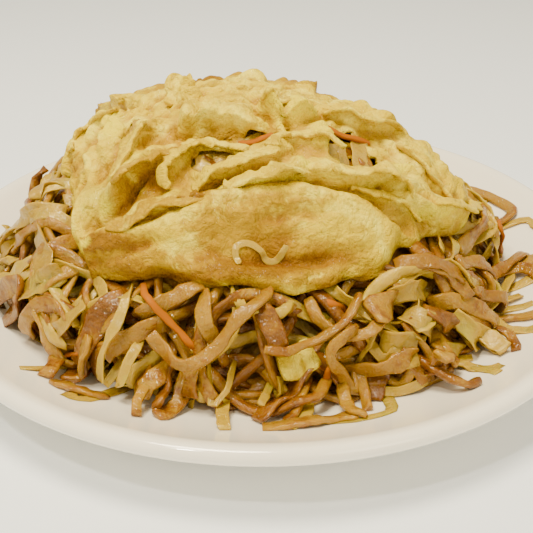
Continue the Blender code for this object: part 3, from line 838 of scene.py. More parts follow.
# Omelette ----------------------------------------------------------------------------------------

# Folds: height, run-out uphill and run-out downhill, how far the crest leans downhill, all in mm,
# how brown the crest is, then pixels along the crest.
FOLDS = {
    "apron": (8.5, 4.5, 21, -4, 0.3,
              [(64, 262), (88, 252), (112, 245), (150, 231), (175, 221), (206, 210), (230, 201), (255, 197),
               (284, 193), (317, 199), (345, 208), (375, 218), (400, 229), (414, 238)]),
    "middle_roll": (7.5, 6, 5, 3.5, 0.75,
                    [(113, 240), (127, 223), (143, 210), (165, 199), (190, 195), (218, 199)]),
    "right_roll": (8, 9, 6, 4.5, 0.1,
                   [(222, 188), (246, 180), (270, 172), (300, 166), (325, 167), (354, 172), (379, 174),
                    (400, 184), (412, 196), (422, 214)]),
    "ledge": (6, 6, 4, 3, 0.0, [(188, 188), (200, 171), (222, 163), (250, 156), (276, 146), (298, 134)]),
    "left_fold": (8.5, 7, 4.5, 4.5, 0.7,
                  [(178, 150), (164, 149), (148, 156), (128, 171), (117, 189), (109, 211)]),
    "left_ridge": (7.5, 7, 4.5, 3.5, 0.35,
                   [(168, 122), (150, 119), (137, 124), (126, 146), (119, 164), (108, 184)]),
    "left_yellow": (5, 6, 6, 1, 0.1, [(116, 106), (108, 122), (102, 138), (94, 158)]),
    "strand": (6, 3, 3, 0.5, 0.0, [(188, 136), (184, 151), (173, 161), (160, 173), (167, 186)]),
    "ear": (6, 4.5, 5, -2, 0.0, [(170, 80), (182, 84), (196, 92)]),
    "peak": (4, 14, 8, 1, 0.0, [(186, 92), (206, 96), (232, 96), (250, 98)]),
    "brow": (7.5, 15, 4, 3.5, 0.1, [(168, 128), (188, 121), (210, 115), (232, 112), (250, 121), (266, 116)]),
    "left_edge": (5, 9, 6, 1, 0.3, [(64, 158), (72, 142), (92, 124), (114, 110), (136, 104)]),
    "left_drape": (5, 8, 7, 1, 0.0, [(80, 180), (92, 200), (88, 226), (76, 248)]),
    "yolk_lump": (8, 9, 5, 4, 0.0, [(258, 94), (272, 98), (288, 106), (304, 106), (316, 98)]),
    "yolk_tail": (6, 5, 5, 1, 0.0, [(306, 112), (320, 126), (336, 142), (344, 158), (357, 172)]),
    "right_edge": (8, 8, 4, 4, 0.05, [(324, 104), (342, 109), (360, 116), (382, 122), (406, 127)]),
    "right_lace": (5, 7, 6, 1, 0.05, [(388, 158), (410, 174), (428, 192), (452, 210), (472, 212)]),
    "right_outer": (6, 8, 6, 1, 0.0, [(408, 132), (424, 148), (442, 172), (462, 192), (476, 204)]),
    "right_hump": (5, 5, 5, 1, 0.0, [(386, 176), (402, 196), (424, 208), (446, 214), (470, 218)]),
    "hem_roll": (4, 6, 5, 1, 0.6, [(96, 278), (130, 272), (158, 258), (190, 266), (226, 276), (280, 280),
                                   (330, 284), (366, 276)]),
}

# Wrinkles: height and half width in mm, then pixels along the line. A crease has a height below 0.
WRINKLES = [
    (-5, 2.6, [(212, 205), (236, 192), (262, 188), (290, 187), (317, 193), (334, 199), (370, 209), (398, 223),
               (420, 227)]),
    (-4, 2.4, [(112, 243), (137, 234), (160, 226), (190, 214), (214, 206)]),
    (-4, 2.4, [(150, 164), (134, 174), (124, 192), (114, 210)]),
    (-3.5, 2.4, [(182, 140), (206, 133), (231, 126), (248, 132)]),
    (-3, 2.2, [(70, 266), (100, 268), (126, 262), (150, 250), (168, 244)]),
    (-3, 2, [(196, 180), (226, 172), (256, 165), (288, 152)]),
    (-3, 2, [(92, 132), (98, 156), (90, 182)]),
    (-3, 1.8, [(133, 129), (122, 149), (103, 162), (92, 181)]),
    (-3, 1.6, [(278, 120), (273, 108), (266, 98)]),
    (-3, 1.6, [(292, 118), (287, 106), (281, 94)]),
    (-2.5, 1.8, [(310, 148), (303, 162), (284, 170)]),
    (-2.5, 1.6, [(336, 196), (356, 203), (378, 210)]),
    (-2.5, 1.6, [(346, 190), (366, 198), (392, 208)]),
    (-2.5, 1.8, [(392, 146), (404, 162), (424, 180), (446, 196)]),
    (-2.5, 1.8, [(100, 196), (96, 216), (98, 240)]),
    (-2.5, 2, [(256, 226), (290, 218), (330, 224)]),
    (-2.5, 2.5, [(240, 262), (280, 256), (320, 262), (350, 252)]),
    (3.5, 3, [(202, 104), (187, 112), (178, 127)]),
    (3.5, 3.2, [(216, 96), (207, 115), (195, 136), (190, 142)]),
    (3, 3, [(66, 143), (82, 127), (106, 113), (122, 105)]),
    (3, 2.2, [(82, 150), (86, 164), (88, 180)]),
    (3, 2.6, [(136, 180), (147, 166), (163, 162), (176, 152)]),
    (3, 2.6, [(216, 188), (241, 181), (257, 170), (300, 163)]),
    (2.5, 2.2, [(190, 142), (212, 141), (232, 147), (246, 153)]),
    (2.5, 2.2, [(204, 166), (226, 162), (246, 158), (264, 148)]),
    (3, 2.4, [(264, 100), (268, 92), (274, 86)]),
    (3, 2.2, [(284, 118), (279, 106), (274, 96)]),
    (3, 2.2, [(302, 118), (295, 106), (288, 95)]),
    (3.5, 3, [(264, 142), (284, 126), (304, 129), (323, 138), (340, 156)]),
    (3, 2.5, [(301, 149), (293, 162), (269, 172), (242, 190)]),
    (3, 2.6, [(352, 170), (376, 176), (391, 164), (412, 172)]),
    (2.5, 2.4, [(355, 182), (383, 196), (412, 200), (427, 218)]),
    (3, 2.4, [(425, 200), (447, 211), (463, 213), (476, 203)]),
    (3, 2.6, [(399, 140), (412, 158), (436, 178), (456, 196)]),
    (2.5, 2.2, [(74, 200), (82, 222), (76, 246)]),
    (2.5, 2.2, [(98, 236), (92, 252), (80, 262)]),
]

# Folds round the back: the same five numbers, then azimuths in degrees and levels along the crest.
BACK_FOLDS = {
    "back_roll": (7, 12, 4, 4, 0.5, [(160, 0.36), (130, 0.40), (100, 0.38), (70, 0.42), (40, 0.40)]),
    "back_apron": (7, 15, 5, 3, 0.35, [(135, 0.55), (105, 0.50), (75, 0.49), (50, 0.52), (30, 0.56)]),
    "back_left": (6, 9, 4, 4, 0.2, [(-176, 0.20), (165, 0.28), (150, 0.42), (146, 0.55)]),
    "back_low": (5, 9, 4, 3, 0.1, [(20, 0.30), (5, 0.42), (-4, 0.55)]),
    "back_ridge": (4, 8, 5, 1, 0.1, [(60, 0.12), (75, 0.24), (95, 0.30)]),
    "back_crumple": (5, 8, 4, 3, 0.3, [(30, 0.22), (48, 0.30), (72, 0.28)]),
}

# Crinkles: their size and how many times longer than wide they are, and their direction in plan on
# the omelette's left side, in degrees
CRINKLE_SIZE = 6.5 * MM
CRINKLE_STRETCH = 2.6
CRINKLE_TURN = 50

# Tears: pixels of the centre, half width and half height in pixels, turn in degrees.
TEARS = [
    (215, 156, 29, 11, -6),
    (353, 146, 26, 21, 40),
    (378, 154, 7, 8, 0),
    (126, 125, 6, 13, 25),
    (256, 129, 17, 4.5, -14),
    (227, 195.5, 8, 2.5, -4),
]

# Coloured patches: pixels of the centre, half width and half height in pixels, strength.
YOLK_PATCHES = [
    (288, 106, 34, 18, 1.0), (322, 130, 12, 20, 0.8), (246, 178, 22, 8, 0.7), (110, 120, 12, 18, 0.7),
    (392, 168, 22, 8, 0.8), (212, 110, 30, 8, 0.4), (82, 250, 16, 6, 0.8), (104, 212, 6, 20, 0.7),
    (430, 212, 20, 6, 0.8), (300, 150, 10, 18, 0.8), (214, 188, 10, 8, 0.7), (140, 150, 26, 10, 0.5),
    (180, 262, 60, 8, 0.3), (340, 172, 30, 8, 0.6), (126, 164, 10, 20, 0.5), (348, 248, 30, 10, 0.35),
]
BROWN_PATCHES = [
    (104, 252, 46, 9, 1.3), (255, 266, 74, 13, 1.15), (188, 200, 34, 8, 1.1), (245, 236, 60, 24, 0.65),
    (150, 172, 20, 16, 0.7), (126, 270, 44, 11, 1.0),
    (300, 258, 60, 18, 0.65), (205, 274, 60, 8, 1.0), (175, 148, 8, 8, 1.3), (340, 280, 40, 8, 0.9),
    (118, 200, 8, 22, 0.6), (266, 212, 60, 8, 0.5), (130, 232, 12, 8, 0.8), (84, 272, 20, 8, 0.9),
    (126, 190, 8, 14, 0.8), (228, 132, 14, 6, 0.5), (70, 160, 8, 20, 0.4),
]
# where the sheet lies smoother than elsewhere
CALM_PATCHES = [(285, 242, 120, 42, 1.0), (150, 262, 50, 20, 0.6)]
# olive patches: partly painted shade under the right roll and beside the left drape, partly the egg's own
# greenish translucent tint
GREEN_TINT_AND_SHADE_PATCHES = [
    (100, 206, 12, 28, 1.0), (330, 190, 50, 8, 0.8), (404, 214, 26, 10, 0.9), (372, 184, 24, 6, 0.6),
]


def patch_mask(pixels, patches, facing):
    """Soft elliptical patches in the photograph's frame, on the side that faces the camera."""
    mask = np.zeros(len(pixels))
    for x, y, half_width, half_height, strength in patches:
        reach = np.hypot((pixels[:, 0] - x) / half_width, (pixels[:, 1] - y) / half_height)
        mask = np.maximum(mask, strength * (1 - smooth_step(0.4, 1.5, reach)))
    return mask * facing


def skin_place(points):
    """Azimuth and level of points that lie on the skin."""
    height = np.clip((points[:, 2] - HEAP_FOOT) / HEAP_RISE, 0, 1) ** (1 / HEAP_POWER)
    azimuth = np.arctan2(points[:, 1] - PEAK_SHIFT_Y * height, points[:, 0] - PEAK_SHIFT_X * height)
    return azimuth, np.arccos(height) * 2 / math.pi


def crest_line(azimuth, level):
    """A fold's crest, and for each of its stretches the direction across it, to the lower side."""
    crest = rounded(skin_point(azimuth, level), 2)
    _, _, down, normal, _, _ = skin_frame(*skin_place(crest))
    across = unit(np.cross(normal[:-1], np.diff(crest, axis=0)))
    if (across * down[:-1]).sum() < 0:
        across = -across
    return crest, across


def fold_displacement(points, line, height, run_up, run_down, overhang):
    """Lift and sideways shift that one fold gives each point, and how near the point is to its crest."""
    crest, across = line
    best = np.full(len(points), np.inf)
    below = np.zeros(len(points))
    end = np.zeros(len(points))
    lower = np.zeros((len(points), 3))
    for number, (start, stop) in enumerate(zip(crest[:-1], crest[1:])):
        run = stop - start
        share = np.clip((points - start) @ run / (run @ run), 0, 1)
        away = points - (start + share[:, None] * run)
        distance = np.linalg.norm(away, axis=1)
        nearer = distance < best
        best[nearer] = distance[nearer]
        below[nearer] = (away @ across[number])[nearer]
        end[nearer] = ((number + share) / (len(crest) - 1))[nearer]
        lower[nearer] = across[number]
    fade = np.clip(np.minimum(end, 1 - end) / FOLD_FADE, 0, 1) ** 0.7
    # the two sides blend over a millimetre, so that the crest is not notched where it bends
    side = smooth_step(-1, 1, below / MM)
    reach = run_up + (run_down - run_up) * side
    # a short side is full and meets the sheet in a sharp crease, a long one runs out softly
    bulge = (1 - np.clip(best / reach, 0, 1) ** 2) ** (0.35 + reach / (14 * MM))
    lift = height * fade * bulge
    signed = best * np.where(below > 0, 1, -1)
    shift = overhang * fade * np.exp(-(((signed + 0.25 * run_down) / (0.8 * run_down)) ** 2))
    near = fade * np.exp(-((best / (0.45 * run_up)) ** 2))
    return lift, shift[:, None] * lower, near


@functools.lru_cache(maxsize=None)
def read_folds():
    """The folds and wrinkles with their pixels turned into lines on the skin."""
    folds = []
    for height, run_up, run_down, overhang, brown, pixels in FOLDS.values():
        folds.append((height, run_up, run_down, overhang, brown, crest_line(*from_photo(pixels).T)))
    for height, run_up, run_down, overhang, brown, stops in BACK_FOLDS.values():
        degrees, levels = np.array(stops).T
        folds.append((height, run_up, run_down, overhang, brown, crest_line(np.radians(degrees), levels)))
    wrinkles = []
    for rise, half_width, pixels in WRINKLES:
        wrinkles.append((rise, half_width, crest_line(*from_photo(pixels).T)))
    return folds, wrinkles


def omelette_fields(azimuth, level):
    """Displaced points of the sheet's top, their height over the skin, and the colour fields."""
    here, along, down, normal, _, _ = skin_frame(azimuth, level)
    lift = np.zeros(len(here))
    shift = np.zeros((len(here), 3))
    crest_brown = np.zeros(len(here))
    folds, wrinkles = read_folds()
    wobbles = [noise_at(here, 14 * MM, 1, offset) * FOLD_WAVER * MM for offset in (3.3, 7.7, 9.9)]
    for number, (height, run_up, run_down, overhang, brown, line) in enumerate(folds):
        wobble = here + wobbles[number % 3][:, None] * along + wobbles[(number + 1) % 3][:, None] * down * 0.6
        sizes = [length * MM for length in (height, run_up, run_down, overhang)]
        raised, slide, near = fold_displacement(wobble, line, *sizes)
        share = smooth_step(-0.8 * MM, 0.8 * MM, raised - lift)[:, None]
        shift = shift * (1 - share) + slide * share
        lift = np.maximum(lift, raised)
        crest_brown = np.maximum(crest_brown, near * brown)
    pixels = to_pixel(here)
    facing = (np.einsum("ij,ij->i", normal, CAMERA - here) > 0).astype(float)
    bent = here + wobbles[0][:, None] * along * 0.4 + wobbles[1][:, None] * down * 0.4
    for rise, half_width, line in wrinkles:
        reach = half_width * MM
        wrinkle, _, _ = fold_displacement(bent, line, rise * MM, reach, reach, 0)
        lift += wrinkle * facing
    # crinkles are rounded ridges with sharp valleys, stretched along the folds
    turn = math.radians(CRINKLE_TURN)
    straight = np.stack([here[:, 0] / CRINKLE_STRETCH, here[:, 1], here[:, 2]], axis=1)
    slant = here[:, 0] * math.cos(turn) + here[:, 1] * math.sin(turn)
    cross = here[:, 1] * math.cos(turn) - here[:, 0] * math.sin(turn)
    slanted = np.stack([slant / CRINKLE_STRETCH, cross, here[:, 2] / 1.6], axis=1)
    leftward = smooth_step(-20 * MM, -50 * MM, here[:, 0] + 12 * MM * noise_at(here, 30 * MM, 2, 6.6))
    crinkle = np.abs(noise_at(straight, CRINKLE_SIZE, 3, 8.4)) * (1 - leftward)
    crinkle += np.abs(noise_at(slanted, CRINKLE_SIZE, 3, 2.9)) * leftward
    calm = 1 - 0.65 * patch_mask(pixels, CALM_PATCHES, facing)
    lumps = noise_at(here, 18 * MM, 3, 3.1)
    relief = LUMP_HEIGHT * lumps + CRINKLE_HEIGHT * calm * (np.minimum(crinkle, 0.6) - 0.15)
    fine = GRAIN_HEIGHT * noise_at(here, 4.2 * MM, 3, 1.0)
    settle = PEAK_SETTLE * (1 - smooth_step(0.15, 0.5, level))
    height = lift - SHEET_SINK - settle + relief + fine
    points = here + normal * height[:, None] + shift
    brown = np.maximum(patch_mask(pixels, BROWN_PATCHES, facing), crest_brown)
    brown = np.maximum(brown, (1 - facing) * np.clip(0.35 + 0.8 * noise_at(here, 30 * MM, 2, 5.0), 0, 1))
    yolk = patch_mask(pixels, YOLK_PATCHES, facing)
    yolk = np.maximum(yolk, (1 - facing) * np.clip(noise_at(here, 28 * MM, 2, 9.0) * 1.6, 0, 0.8))
    # olive tint that is partly painted shade under the rolls and partly the egg's own greenish tint
    green = patch_mask(pixels, GREEN_TINT_AND_SHADE_PATCHES, facing)
    return points, height, {"brown": brown, "yolk": yolk, "green": green}


def torn(azimuth, level):
    """True where the sheet is torn open: ragged ellipses placed by their pixels."""
    here = skin_point(azimuth, level)
    _, _, _, normal, _, _ = skin_frame(azimuth, level)
    facing = np.einsum("ij,ij->i", normal, CAMERA - here) > 0
    pixels = to_pixel(here)
    ragged = TEAR_RAGGED * noise_at(here, 6 * MM, 3, 4.4)
    gone = np.zeros(len(here), bool)
    for x, y, half_width, half_height, turn in TEARS:
        cos, sin = math.cos(math.radians(turn)), math.sin(math.radians(turn))
        dx, dy = pixels[:, 0] - x, pixels[:, 1] - y
        reach = np.hypot((dx * cos + dy * sin) / half_width, (dy * cos - dx * sin) / half_height)
        gone |= (reach + ragged < 1) & facing
    return gone


def eased(grid, passes):
    """A grid of azimuths and levels with each value drawn towards its neighbours."""
    for _ in range(passes):
        grid = 0.5 * grid + 0.25 * (np.roll(grid, 1, axis=0) + np.roll(grid, -1, axis=0))
        padded = np.concatenate([grid[:, :1], grid, grid[:, -1:]], axis=1)
        grid = 0.5 * grid + 0.25 * (padded[:, :-2] + padded[:, 2:])
    return grid


def hollowness(height, passes, depth):
    """How deep each point of a grid lies among those round it, from -1 on a ridge to 1 in a crease."""
    return np.clip((eased(height, passes) - height) / depth, -1, 1)


def smooth_rims(points, faces, passes):
    """Draws each point on a rim between its two neighbours there, so that tears are not stepped."""
    uses = {}
    for face in faces:
        for start, stop in zip(face, face[1:] + face[:1]):
            edge = (min(start, stop), max(start, stop))
            uses[edge] = uses.get(edge, 0) + 1
    beside = {}
    for (start, stop), count in uses.items():
        if count == 1:
            beside.setdefault(start, []).append(stop)
            beside.setdefault(stop, []).append(start)
    rim = [point for point, others in beside.items() if len(others) == 2]
    first = np.array([beside[point][0] for point in rim])
    second = np.array([beside[point][1] for point in rim])
    for _ in range(passes):
        points[rim] = 0.4 * points[rim] + 0.3 * (points[first] + points[second])


def make_omelette(finish):
    azimuths, levels = 400, 118
    azimuth = np.linspace(-math.pi, math.pi, azimuths + 1)[:-1]
    # columns stand wider apart on the near side and closer together on the far side
    azimuth = azimuth + COLUMN_SHIFT * np.sin(azimuth + math.pi / 2)
    flat_azimuth, flat_ring = grid_points(azimuth, np.linspace(0, 1, levels))
    hem_here = skin_point(azimuth, hem_level(azimuth))
    hem = hem_level(azimuth) + HEM_RAGGED * noise_at(hem_here, 12 * MM, 4, 2.2)
    flat_level = np.repeat(hem, levels) * (0.02 + 0.98 * flat_ring)
    points, height, layers = omelette_fields(flat_azimuth, flat_level)
    height = eased(height.reshape(azimuths, levels), 1)
    # painted shade: how deep each point lies in a crease, which darkens the sheet's colour there
    crease_shade = sum(share * hollowness(height, passes, depth) for share, passes, depth in CREASE_SHADE_SCALES)
    layers["crease_shade"] = eased(crease_shade, 2).ravel()
    # the hem turns under
    _, _, _, normal, _, _ = skin_frame(flat_azimuth, flat_level)
    tuck = HEM_TUCK * np.clip((flat_ring - TUCK_START) / TUCK_RUN, 0, 1) ** 2
    points = points - normal * tuck[:, None]
    points = eased(points.reshape(azimuths, levels, 3), 1).reshape(-1, 3)
    gone = torn(flat_azimuth, flat_level)
    faces = [face for face in ring_faces(azimuths, levels) if not any(gone[corner] for corner in face)]
    faces.append(first_row(azimuths, levels))
    smooth_rims(points, faces, 4)
    return add_mesh("omelette_sheet", points, faces, finish, layers)


# Shreds that lie on the omelette and across its tears, by CAD node: kind, half width and thickness in
# mm, how far they stand above the sheet in mm, twist in degrees from start to end, and pixels along them.
TOPPINGS = {
    "cabbage_curl": ("cabbage", 1.2, 0.9, 0.6, (0, 20),
                     [(240, 262), (235, 256), (236, 247), (246, 242), (257, 245), (264, 250), (267, 257),
                      (274, 259), (281, 255), (288, 243)]),
    "carrot_left": ("carrot", 1.2, 1.5, 0.4, (0, 10), [(239, 137), (256, 131), (275, 124)]),
    "carrot_right": ("carrot", 1.3, 1.5, 0.5, (0, 10), [(327, 118), (348, 127), (377, 132)]),
}


# Flaps of egg that stand off the sheet along its folds: half width and height above the sheet in mm,
# how brown, turn in degrees from start to end, and pixels along them.
FLAPS = [
    (3.4, 0.4, 0.5, (-24, -34), [(115, 236), (128, 220), (144, 208), (165, 197), (190, 193), (212, 196)]),
    (3.0, 0.4, 0.0, (-20, -30), [(224, 186), (246, 178), (270, 170), (298, 164)]),
    (3.2, 0.4, 0.1, (-30, -20), [(326, 165), (354, 170), (379, 172), (400, 182), (412, 196)]),
    (2.6, 0.4, 0.0, (-25, -25), [(192, 184), (202, 170), (222, 162), (250, 155), (274, 146)]),
    (2.8, 0.4, 0.1, (-30, -30), [(188, 142), (204, 139), (226, 140), (246, 145)]),
    (2.0, 1.2, 0.0, (0, 25), [(190, 134), (185, 150), (174, 161), (162, 172), (166, 186)]),
    (3.0, 0.4, 0.5, (25, 35), [(174, 150), (162, 150), (147, 157), (128, 172), (117, 190)]),
    (2.6, 0.4, 0.2, (25, 30), [(148, 120), (137, 126), (126, 147), (118, 166), (109, 184)]),
    (2.8, 0.4, 0.0, (-25, -25), [(400, 142), (412, 158), (434, 178), (456, 196)]),
    (2.6, 0.6, 0.0, (-20, -30), [(428, 202), (447, 211), (463, 213), (475, 205)]),
    (2.4, 0.8, 0.0, (40, 60), [(167, 94), (169, 83), (178, 80), (190, 88)]),
    (2.2, 0.4, 0.0, (-20, -20), [(262, 98), (272, 94), (286, 99), (300, 98)]),
    (2.4, 0.4, 0.0, (-30, -20), [(266, 142), (284, 128), (304, 130), (322, 139), (338, 155)]),
    (2.4, 0.4, 0.0, (-25, -20), [(326, 106), (344, 111), (362, 118), (384, 124), (406, 129)]),
    (2.0, 0.4, 0.0, (-25, -25), [(352, 183), (380, 196), (404, 202), (424, 216)]),
    (2.4, 0.4, 0.3, (-25, -30), [(70, 150), (80, 134), (98, 120), (118, 110)]),
]


def line_on_sheet(pixels, above):
    """Evenly spaced points on the omelette along a line of the photograph, and the skin's normals."""
    route = photo_route(pixels)
    centre, _, _ = omelette_fields(route[:, 0], route[:, 1])
    centre = softened(centre, 6)
    _, _, _, normal, _, _ = skin_frame(route[:, 0], route[:, 1])
    line = spaced(np.concatenate([centre + normal * above, normal], axis=1), 1.5 * MM)
    return line[:, :3], line[:, 3:]


def lay_flaps(rng, bundles):
    for half_width_mm, above_mm, brown, turns, pixels in FLAPS:
        centre, normal = line_on_sheet(pixels, above_mm * MM)
        count = len(centre)
        turn = np.radians(np.linspace(*turns, count)) + wave(rng, count, 0.25, 2.0)
        side, up = ribbon_frame(centre, normal, turn)
        centre = centre + side * wave(rng, count, 0.7 * MM, 3.0)[:, None]
        widths = half_width_mm * MM * taper(count, 0.15, 5) * (1 + wave(rng, count, 0.35, 3.0))
        bundles["egg"].add(centre, side, up, widths, 1.7 * MM, 0.5, brown, 0.15)


def make_topping(name, finish, rng):
    kind, half_width_mm, thickness_mm, above_mm, twists, pixels = TOPPINGS[name]
    centre, normal = line_on_sheet(pixels, above_mm * MM)
    count = len(centre)
    side, up = ribbon_frame(centre, normal, np.radians(np.linspace(*twists, count)))
    widths = half_width_mm * MM * taper(count, 0.4, 3) * (1 + wave(rng, count, 0.1, 2.0))
    bundle = Bundle()
    cup = 0.3 if kind == "cabbage" else 0.0
    bundle.add(centre, side, up, widths, thickness_mm * MM, 0.3, 0.0, cup)
    return bundle.build(name + "_piece", finish)


# Plate -------------------------------------------------------------------------------------------


def make_plate(finish):
    """The plate's own profile, turned finely enough for the lip to shine round."""
    upper = np.concatenate([[PLATE_CENTRE], np.linspace(0.5 * WELL_RADIUS, BRIM_END, 40)])
    profile = [(r, float(plate_height(r))) for r in upper]
    for angle in np.radians(np.linspace(100, -60, 15)):
        lip_x = PLATE_RADIUS - LIP_RADIUS + LIP_RADIUS * math.cos(angle)
        lip_z = PLATE_HEIGHT - LIP_RADIUS + LIP_RADIUS * math.sin(angle)
        profile.append((lip_x, lip_z))
    under = np.linspace(BRIM_END, FOOT_OUTER, 16)[1:-1]
    profile += [(r, float(plate_height(r)) - PLATE_WALL) for r in under]
    foot_top = WELL_FLOOR - PLATE_WALL
    profile += [(FOOT_OUTER, foot_top), (FOOT_OUTER, 0)]
    profile += [(FOOT_INNER, 0), (FOOT_INNER, foot_top), (PLATE_CENTRE, foot_top)]
    steps, rows = PLATE_STEPS, len(profile)
    points = []
    for angle in (TAU * step / steps for step in range(steps)):
        points += [(r * math.cos(angle), r * math.sin(angle), z) for r, z in profile]
    caps = [first_row(steps, rows), last_row(steps, rows)]
    plate = add_mesh("turned_plate", points, ring_faces(steps, rows) + caps, finish)
    plate.data.set_sharp_from_angle(angle=math.radians(50))
    return plate


# Materials ---------------------------------------------------------------------------------------


def shader(name):
    made = bpy.data.materials.new(name)
    made.use_nodes = True
    tree = made.node_tree
    return made, tree, tree.nodes["Principled BSDF"]


def add_node(tree, kind, **values):
    made = tree.nodes.new(kind)
    for key, value in values.items():
        setattr(made, key, value)
    return made


def noise_node(tree, scale, detail, rough, distortion, place):
    made = add_node(tree, "ShaderNodeTexNoise")
    made.inputs["Scale"].default_value = scale
    made.inputs["Detail"].default_value = detail
    made.inputs["Roughness"].default_value = rough
    made.inputs["Distortion"].default_value = distortion
    tree.links.new(place, made.inputs["Vector"])
    return made.outputs["Fac"]


def object_coordinates(tree):
    return add_node(tree, "ShaderNodeTexCoord").outputs["Object"]


def attribute(tree, name):
    return add_node(tree, "ShaderNodeAttribute", attribute_name=name).outputs["Fac"]


def math_node(tree, operation, *values):
    made = add_node(tree, "ShaderNodeMath", operation=operation)
    for socket, value in zip(made.inputs, values):
        if isinstance(value, float):
            socket.default_value = value
        else:
            tree.links.new(value, socket)
    return made.outputs[0]


def plus(tree, total, value, factor):
    """The total and factor times the value."""
    return math_node(tree, "ADD", total, math_node(tree, "MULTIPLY", value, factor))


def ramp(tree, value, low, high):
    """0 at low, 1 at high, eased."""
    made = add_node(tree, "ShaderNodeMapRange", interpolation_type="SMOOTHSTEP")
    made.inputs["From Min"].default_value = low
    made.inputs["From Max"].default_value = high
    tree.links.new(value, made.inputs["Value"])
    return made.outputs["Result"]


def mix(tree, share, first, second, blend="MIX"):
    made = add_node(tree, "ShaderNodeMix", data_type="RGBA", blend_type=blend)
    tree.links.new(share, made.inputs[0])
    for socket, value in ((made.inputs[6], first), (made.inputs[7], second)):
        if isinstance(value, tuple):
            socket.default_value = (*value, 1)
        else:
            tree.links.new(value, socket)
    return made.outputs[2]


def bump(tree, base, height, strength, distance, socket="Normal"):
    made = add_node(tree, "ShaderNodeBump")
    made.inputs["Strength"].default_value = strength
    made.inputs["Distance"].default_value = distance
    tree.links.new(height, made.inputs["Height"])
    tree.links.new(made.outputs["Normal"], base.inputs[socket])


def oil(tree, base, place, weight):
    """A wet coat whose highlights break up into small glints."""
    base.inputs["Coat Weight"].default_value = weight
    base.inputs["Coat Roughness"].default_value = 0.08
    base.inputs["Coat Tint"].default_value = (*OIL_TINT, 1)
    base.inputs["Specular Tint"].default_value = (*OIL_GLINT, 1)
    bump(tree, base, noise_node(tree, 180, 3, 0.6, 0.0, place), 1.0, 3.0 * MM, "Coat Normal")


def finish_with(tree, base, colour, roughness, specular=0.5):
    tree.links.new(colour, base.inputs["Base Color"])
    base.inputs["Roughness"].default_value = roughness
    base.inputs["Specular IOR Level"].default_value = specular


def soften(base, weight, radius, scale):
    base.inputs["Subsurface Weight"].default_value = weight
    base.inputs["Subsurface Radius"].default_value = radius
    base.inputs["Subsurface Scale"].default_value = scale


# Colours as linear red, green and blue
OIL_TINT = (1.0, 0.88, 0.55)
OIL_GLINT = (1.0, 0.82, 0.45)
EGG_CREAM = (0.88, 0.725, 0.06)
EGG_YELLOW = (0.72, 0.52, 0.0)
EGG_MILKY = (0.55, 0.38, 0.0)
EGG_GOLDEN = (0.45, 0.262, 0.0)
EGG_FRIED = (0.26, 0.118, 0.0)
EGG_YOLK = (0.84, 0.68, 0.0)
# olive that stands partly for painted shade under the rolls and partly for the egg's own greenish tint
EGG_GREEN_TINT_AND_SHADE = (0.30, 0.26, 0.01)
# painted shade, which the creases and hollows of the sheet are multiplied by
EGG_CREASE_SHADE = (0.66, 0.51, 0.28)
PANCAKE_PALE = (0.385, 0.225, 0.012)
PANCAKE_TAN = (0.25, 0.118, 0.002)
PANCAKE_GOLDEN = (0.23, 0.09, 0.0)
PANCAKE_FRIED = (0.155, 0.054, 0.0)
CABBAGE_PALE = (0.48, 0.345, 0.03)
CABBAGE_TAN = (0.34, 0.22, 0.008)
CABBAGE_GREEN = (0.40, 0.36, 0.03)
CABBAGE_DULL = (0.32, 0.21, 0.03)
CARROT_LIGHT = (0.42, 0.125, 0.0)
CARROT_DARK = (0.31, 0.085, 0.0)
CORE_DARK = (0.32, 0.14, 0.01)
CORE_LIGHT = (0.55, 0.28, 0.02)
GLAZE_WHITE = (0.97, 0.90, 0.74)
FLOOR_WHITE = (0.90, 0.94, 1.0)
WARM_LIGHT = (1.0, 0.88, 0.62)
SPARKLE_LIGHT = (1.0, 0.92, 0.75)
ROOM_LIGHT = (1.0, 0.92, 0.72)


def egg_material():
    made, tree, base = shader("fried_egg")
    place = object_coordinates(tree)
    blotch = noise_node(tree, 70, 5, 0.6, 0.6, place)
    speck = noise_node(tree, 420, 4, 0.6, 0.3, place)
    broad = noise_node(tree, 26, 3, 0.5, 0.4, place)
    milk = noise_node(tree, 130, 4, 0.6, 0.5, place)
    pale = mix(tree, ramp(tree, blotch, 0.36, 0.56), EGG_CREAM, EGG_YELLOW)
    pale = mix(tree, ramp(tree, milk, 0.50, 0.66), pale, EGG_MILKY)
    brown = plus(tree, attribute(tree, "brown"), blotch, 0.9)
    brown = plus(tree, brown, speck, 0.9)
    golden = mix(tree, ramp(tree, brown, 1.00, 1.45), pale, EGG_GOLDEN)
    fried = mix(tree, ramp(tree, brown, 1.45, 2.05), golden, EGG_FRIED)
    yolk = plus(tree, attribute(tree, "yolk"), broad, 0.7)
    rich = mix(tree, ramp(tree, yolk, 0.62, 1.1), fried, EGG_YOLK)
    # olive tint: partly painted shade under the rolls, partly the egg's own greenish tint
    green = math_node(tree, "MULTIPLY", attribute(tree, "green"), 0.35)
    tinted = mix(tree, green, rich, EGG_GREEN_TINT_AND_SHADE)
    # painted shade: the sheet's creases and hollows are darkened towards a warm olive-brown
    crease_shade = ramp(tree, attribute(tree, "crease_shade"), 0.0, 0.9)
    shaded = mix(tree, crease_shade, tinted, EGG_CREASE_SHADE, blend="MULTIPLY")
    finish_with(tree, base, shaded, 0.5, 0.2)
    oil(tree, base, place, 0.12)
    soften(base, 0.1, (1.0, 0.6, 0.05), 1.2 * MM)
    relief = plus(tree, math_node(tree, "MULTIPLY", blotch, 0.7), speck, 0.5)
    relief = plus(tree, relief, milk, 0.7)
    # fine creases
    folded = noise_node(tree, 120, 4, 0.6, 1.2, place)
    crease = math_node(tree, "ABSOLUTE", math_node(tree, "SUBTRACT", folded, 0.5))
    bump(tree, base, math_node(tree, "ADD", relief, crease), 1.0, 2.8 * MM)
    return made


